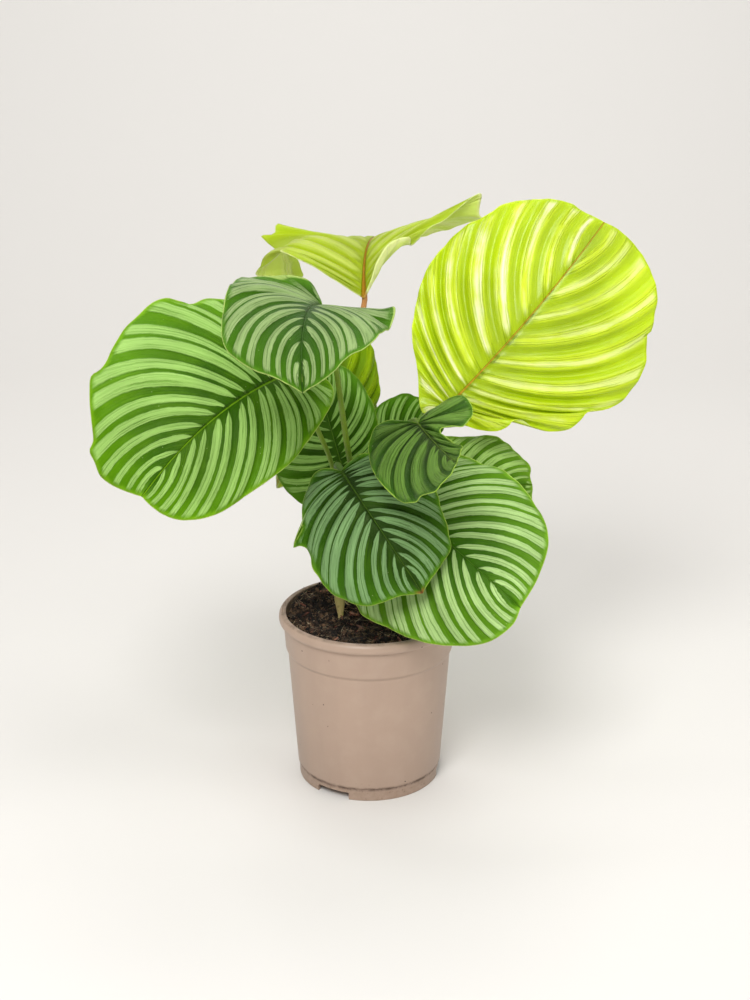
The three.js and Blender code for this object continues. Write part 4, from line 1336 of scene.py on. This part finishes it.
class CALATHEA_OT_stage(bpy.types.Operator):
    """Set the backdrop, the soft lights and the camera"""

    bl_idname = "calathea.stage"
    bl_label = "Stage"

    def execute(self, context):
        settings = context.scene.calathea_stage
        bend, radius = BACKDROP["bend"], BACKDROP["radius"]
        turns = np.linspace(0.1, math.pi / 2, 16)
        path = [(BACKDROP["front"], 0.0), (bend, 0.0)]
        path += [(bend + radius * math.sin(turn), radius - radius * math.cos(turn)) for turn in turns]
        path += [(bend + radius, BACKDROP["height"])]
        vertices = [(x, y, z) for y, z in path for x in (-BACKDROP["side"], BACKDROP["side"])]
        faces = [(2 * i, 2 * i + 1, 2 * i + 3, 2 * i + 2) for i in range(len(path) - 1)]
        backdrop = piece_from("backdrop", vertices, [], faces)
        bpy.ops.object.shade_smooth()
        dress(backdrop, backdrop_material(settings))
        backdrop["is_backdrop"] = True
        for name, light in SOFTBOXES.items():
            self.softbox(name, light["place"], light["size"], getattr(settings, light["power"]), light["target"])
        world = bpy.data.worlds.new("soft_room")
        world.use_nodes = True
        background = world.node_tree.nodes["Background"].inputs
        background["Color"].default_value = WORLD["colour"]
        background["Strength"].default_value = WORLD["strength"]
        context.scene.world = world
        context.scene.view_settings.view_transform = "Standard"
        lens = bpy.data.cameras.new("camera")
        lens.sensor_width = 36.0
        lens.lens = CAMERA["lens"]
        lens.clip_end = 50.0
        camera = bpy.data.objects.new("camera", lens)
        context.scene.collection.objects.link(camera)
        camera.location = CAMERA["place"]
        camera.rotation_euler = (math.radians(CAMERA["tilt"]), 0, 0)
        context.scene.camera = camera
        return {"FINISHED"}

    def softbox(self, name, place, size, power, target):
        """A square area light that looks at its target."""
        light = bpy.data.lights.new(name, "AREA")
        light.size = size
        light.energy = power
        holder = bpy.data.objects.new(name, light)
        bpy.context.scene.collection.objects.link(holder)
        holder.location = place
        holder.rotation_euler = (Vector(target) - Vector(place)).to_track_quat("-Z", "Y").to_euler()


class CALATHEA_PT_panel(bpy.types.Panel):
    """The plant's pieces and their settings"""

    bl_label = "Potted Calathea"
    bl_idname = "CALATHEA_PT_panel"
    bl_space_type = "VIEW_3D"
    bl_region_type = "UI"
    bl_category = "Calathea"

    def draw(self, context):
        for group, operator in GROUPS:
            box = self.layout.box()
            settings = getattr(context.scene, group, None)
            if settings:
                for name in settings.bl_rna.properties.keys():
                    if name not in ("rna_type", "name"):
                        box.prop(settings, name)
            box.operator(operator.bl_idname)


SETTINGS = {
    "calathea_pot": CalatheaPotSettings,
    "calathea_soil": CalatheaSoilSettings,
    "calathea_stalks": CalatheaStalkSettings,
    "calathea_leaves": CalatheaLeafSettings,
    "calathea_stage": CalatheaStageSettings,
}
GROUPS = (
    ("calathea_stage", CALATHEA_OT_stage),
    ("calathea_pot", CALATHEA_OT_pot),
    ("calathea_soil", CALATHEA_OT_soil),
    ("calathea_rhizome", CALATHEA_OT_rhizome),
    ("calathea_stalks", CALATHEA_OT_stalks),
    ("calathea_leaves", CALATHEA_OT_leaves),
)


def register():
    for name, group in SETTINGS.items():
        bpy.utils.register_class(group)
        setattr(bpy.types.Scene, name, PointerProperty(type=group))
    for _, operator in GROUPS:
        bpy.utils.register_class(operator)
    bpy.utils.register_class(CALATHEA_PT_panel)


def unregister():
    bpy.utils.unregister_class(CALATHEA_PT_panel)
    for _, operator in reversed(GROUPS):
        bpy.utils.unregister_class(operator)
    for name, group in reversed(SETTINGS.items()):
        delattr(bpy.types.Scene, name)
        bpy.utils.unregister_class(group)


def main():
    register()
    bpy.ops.calathea.stage()
    bpy.ops.calathea.pot()
    bpy.ops.calathea.soil()
    bpy.ops.calathea.rhizome()
    bpy.ops.calathea.stalks()
    bpy.ops.calathea.leaves()
    boxes = {"cad": CAD_BOX, "scene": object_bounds()}
    boxes = {label: [list(map(float, corner)) for corner in box] for label, box in boxes.items()}


if __name__ == "__main__":
    main()
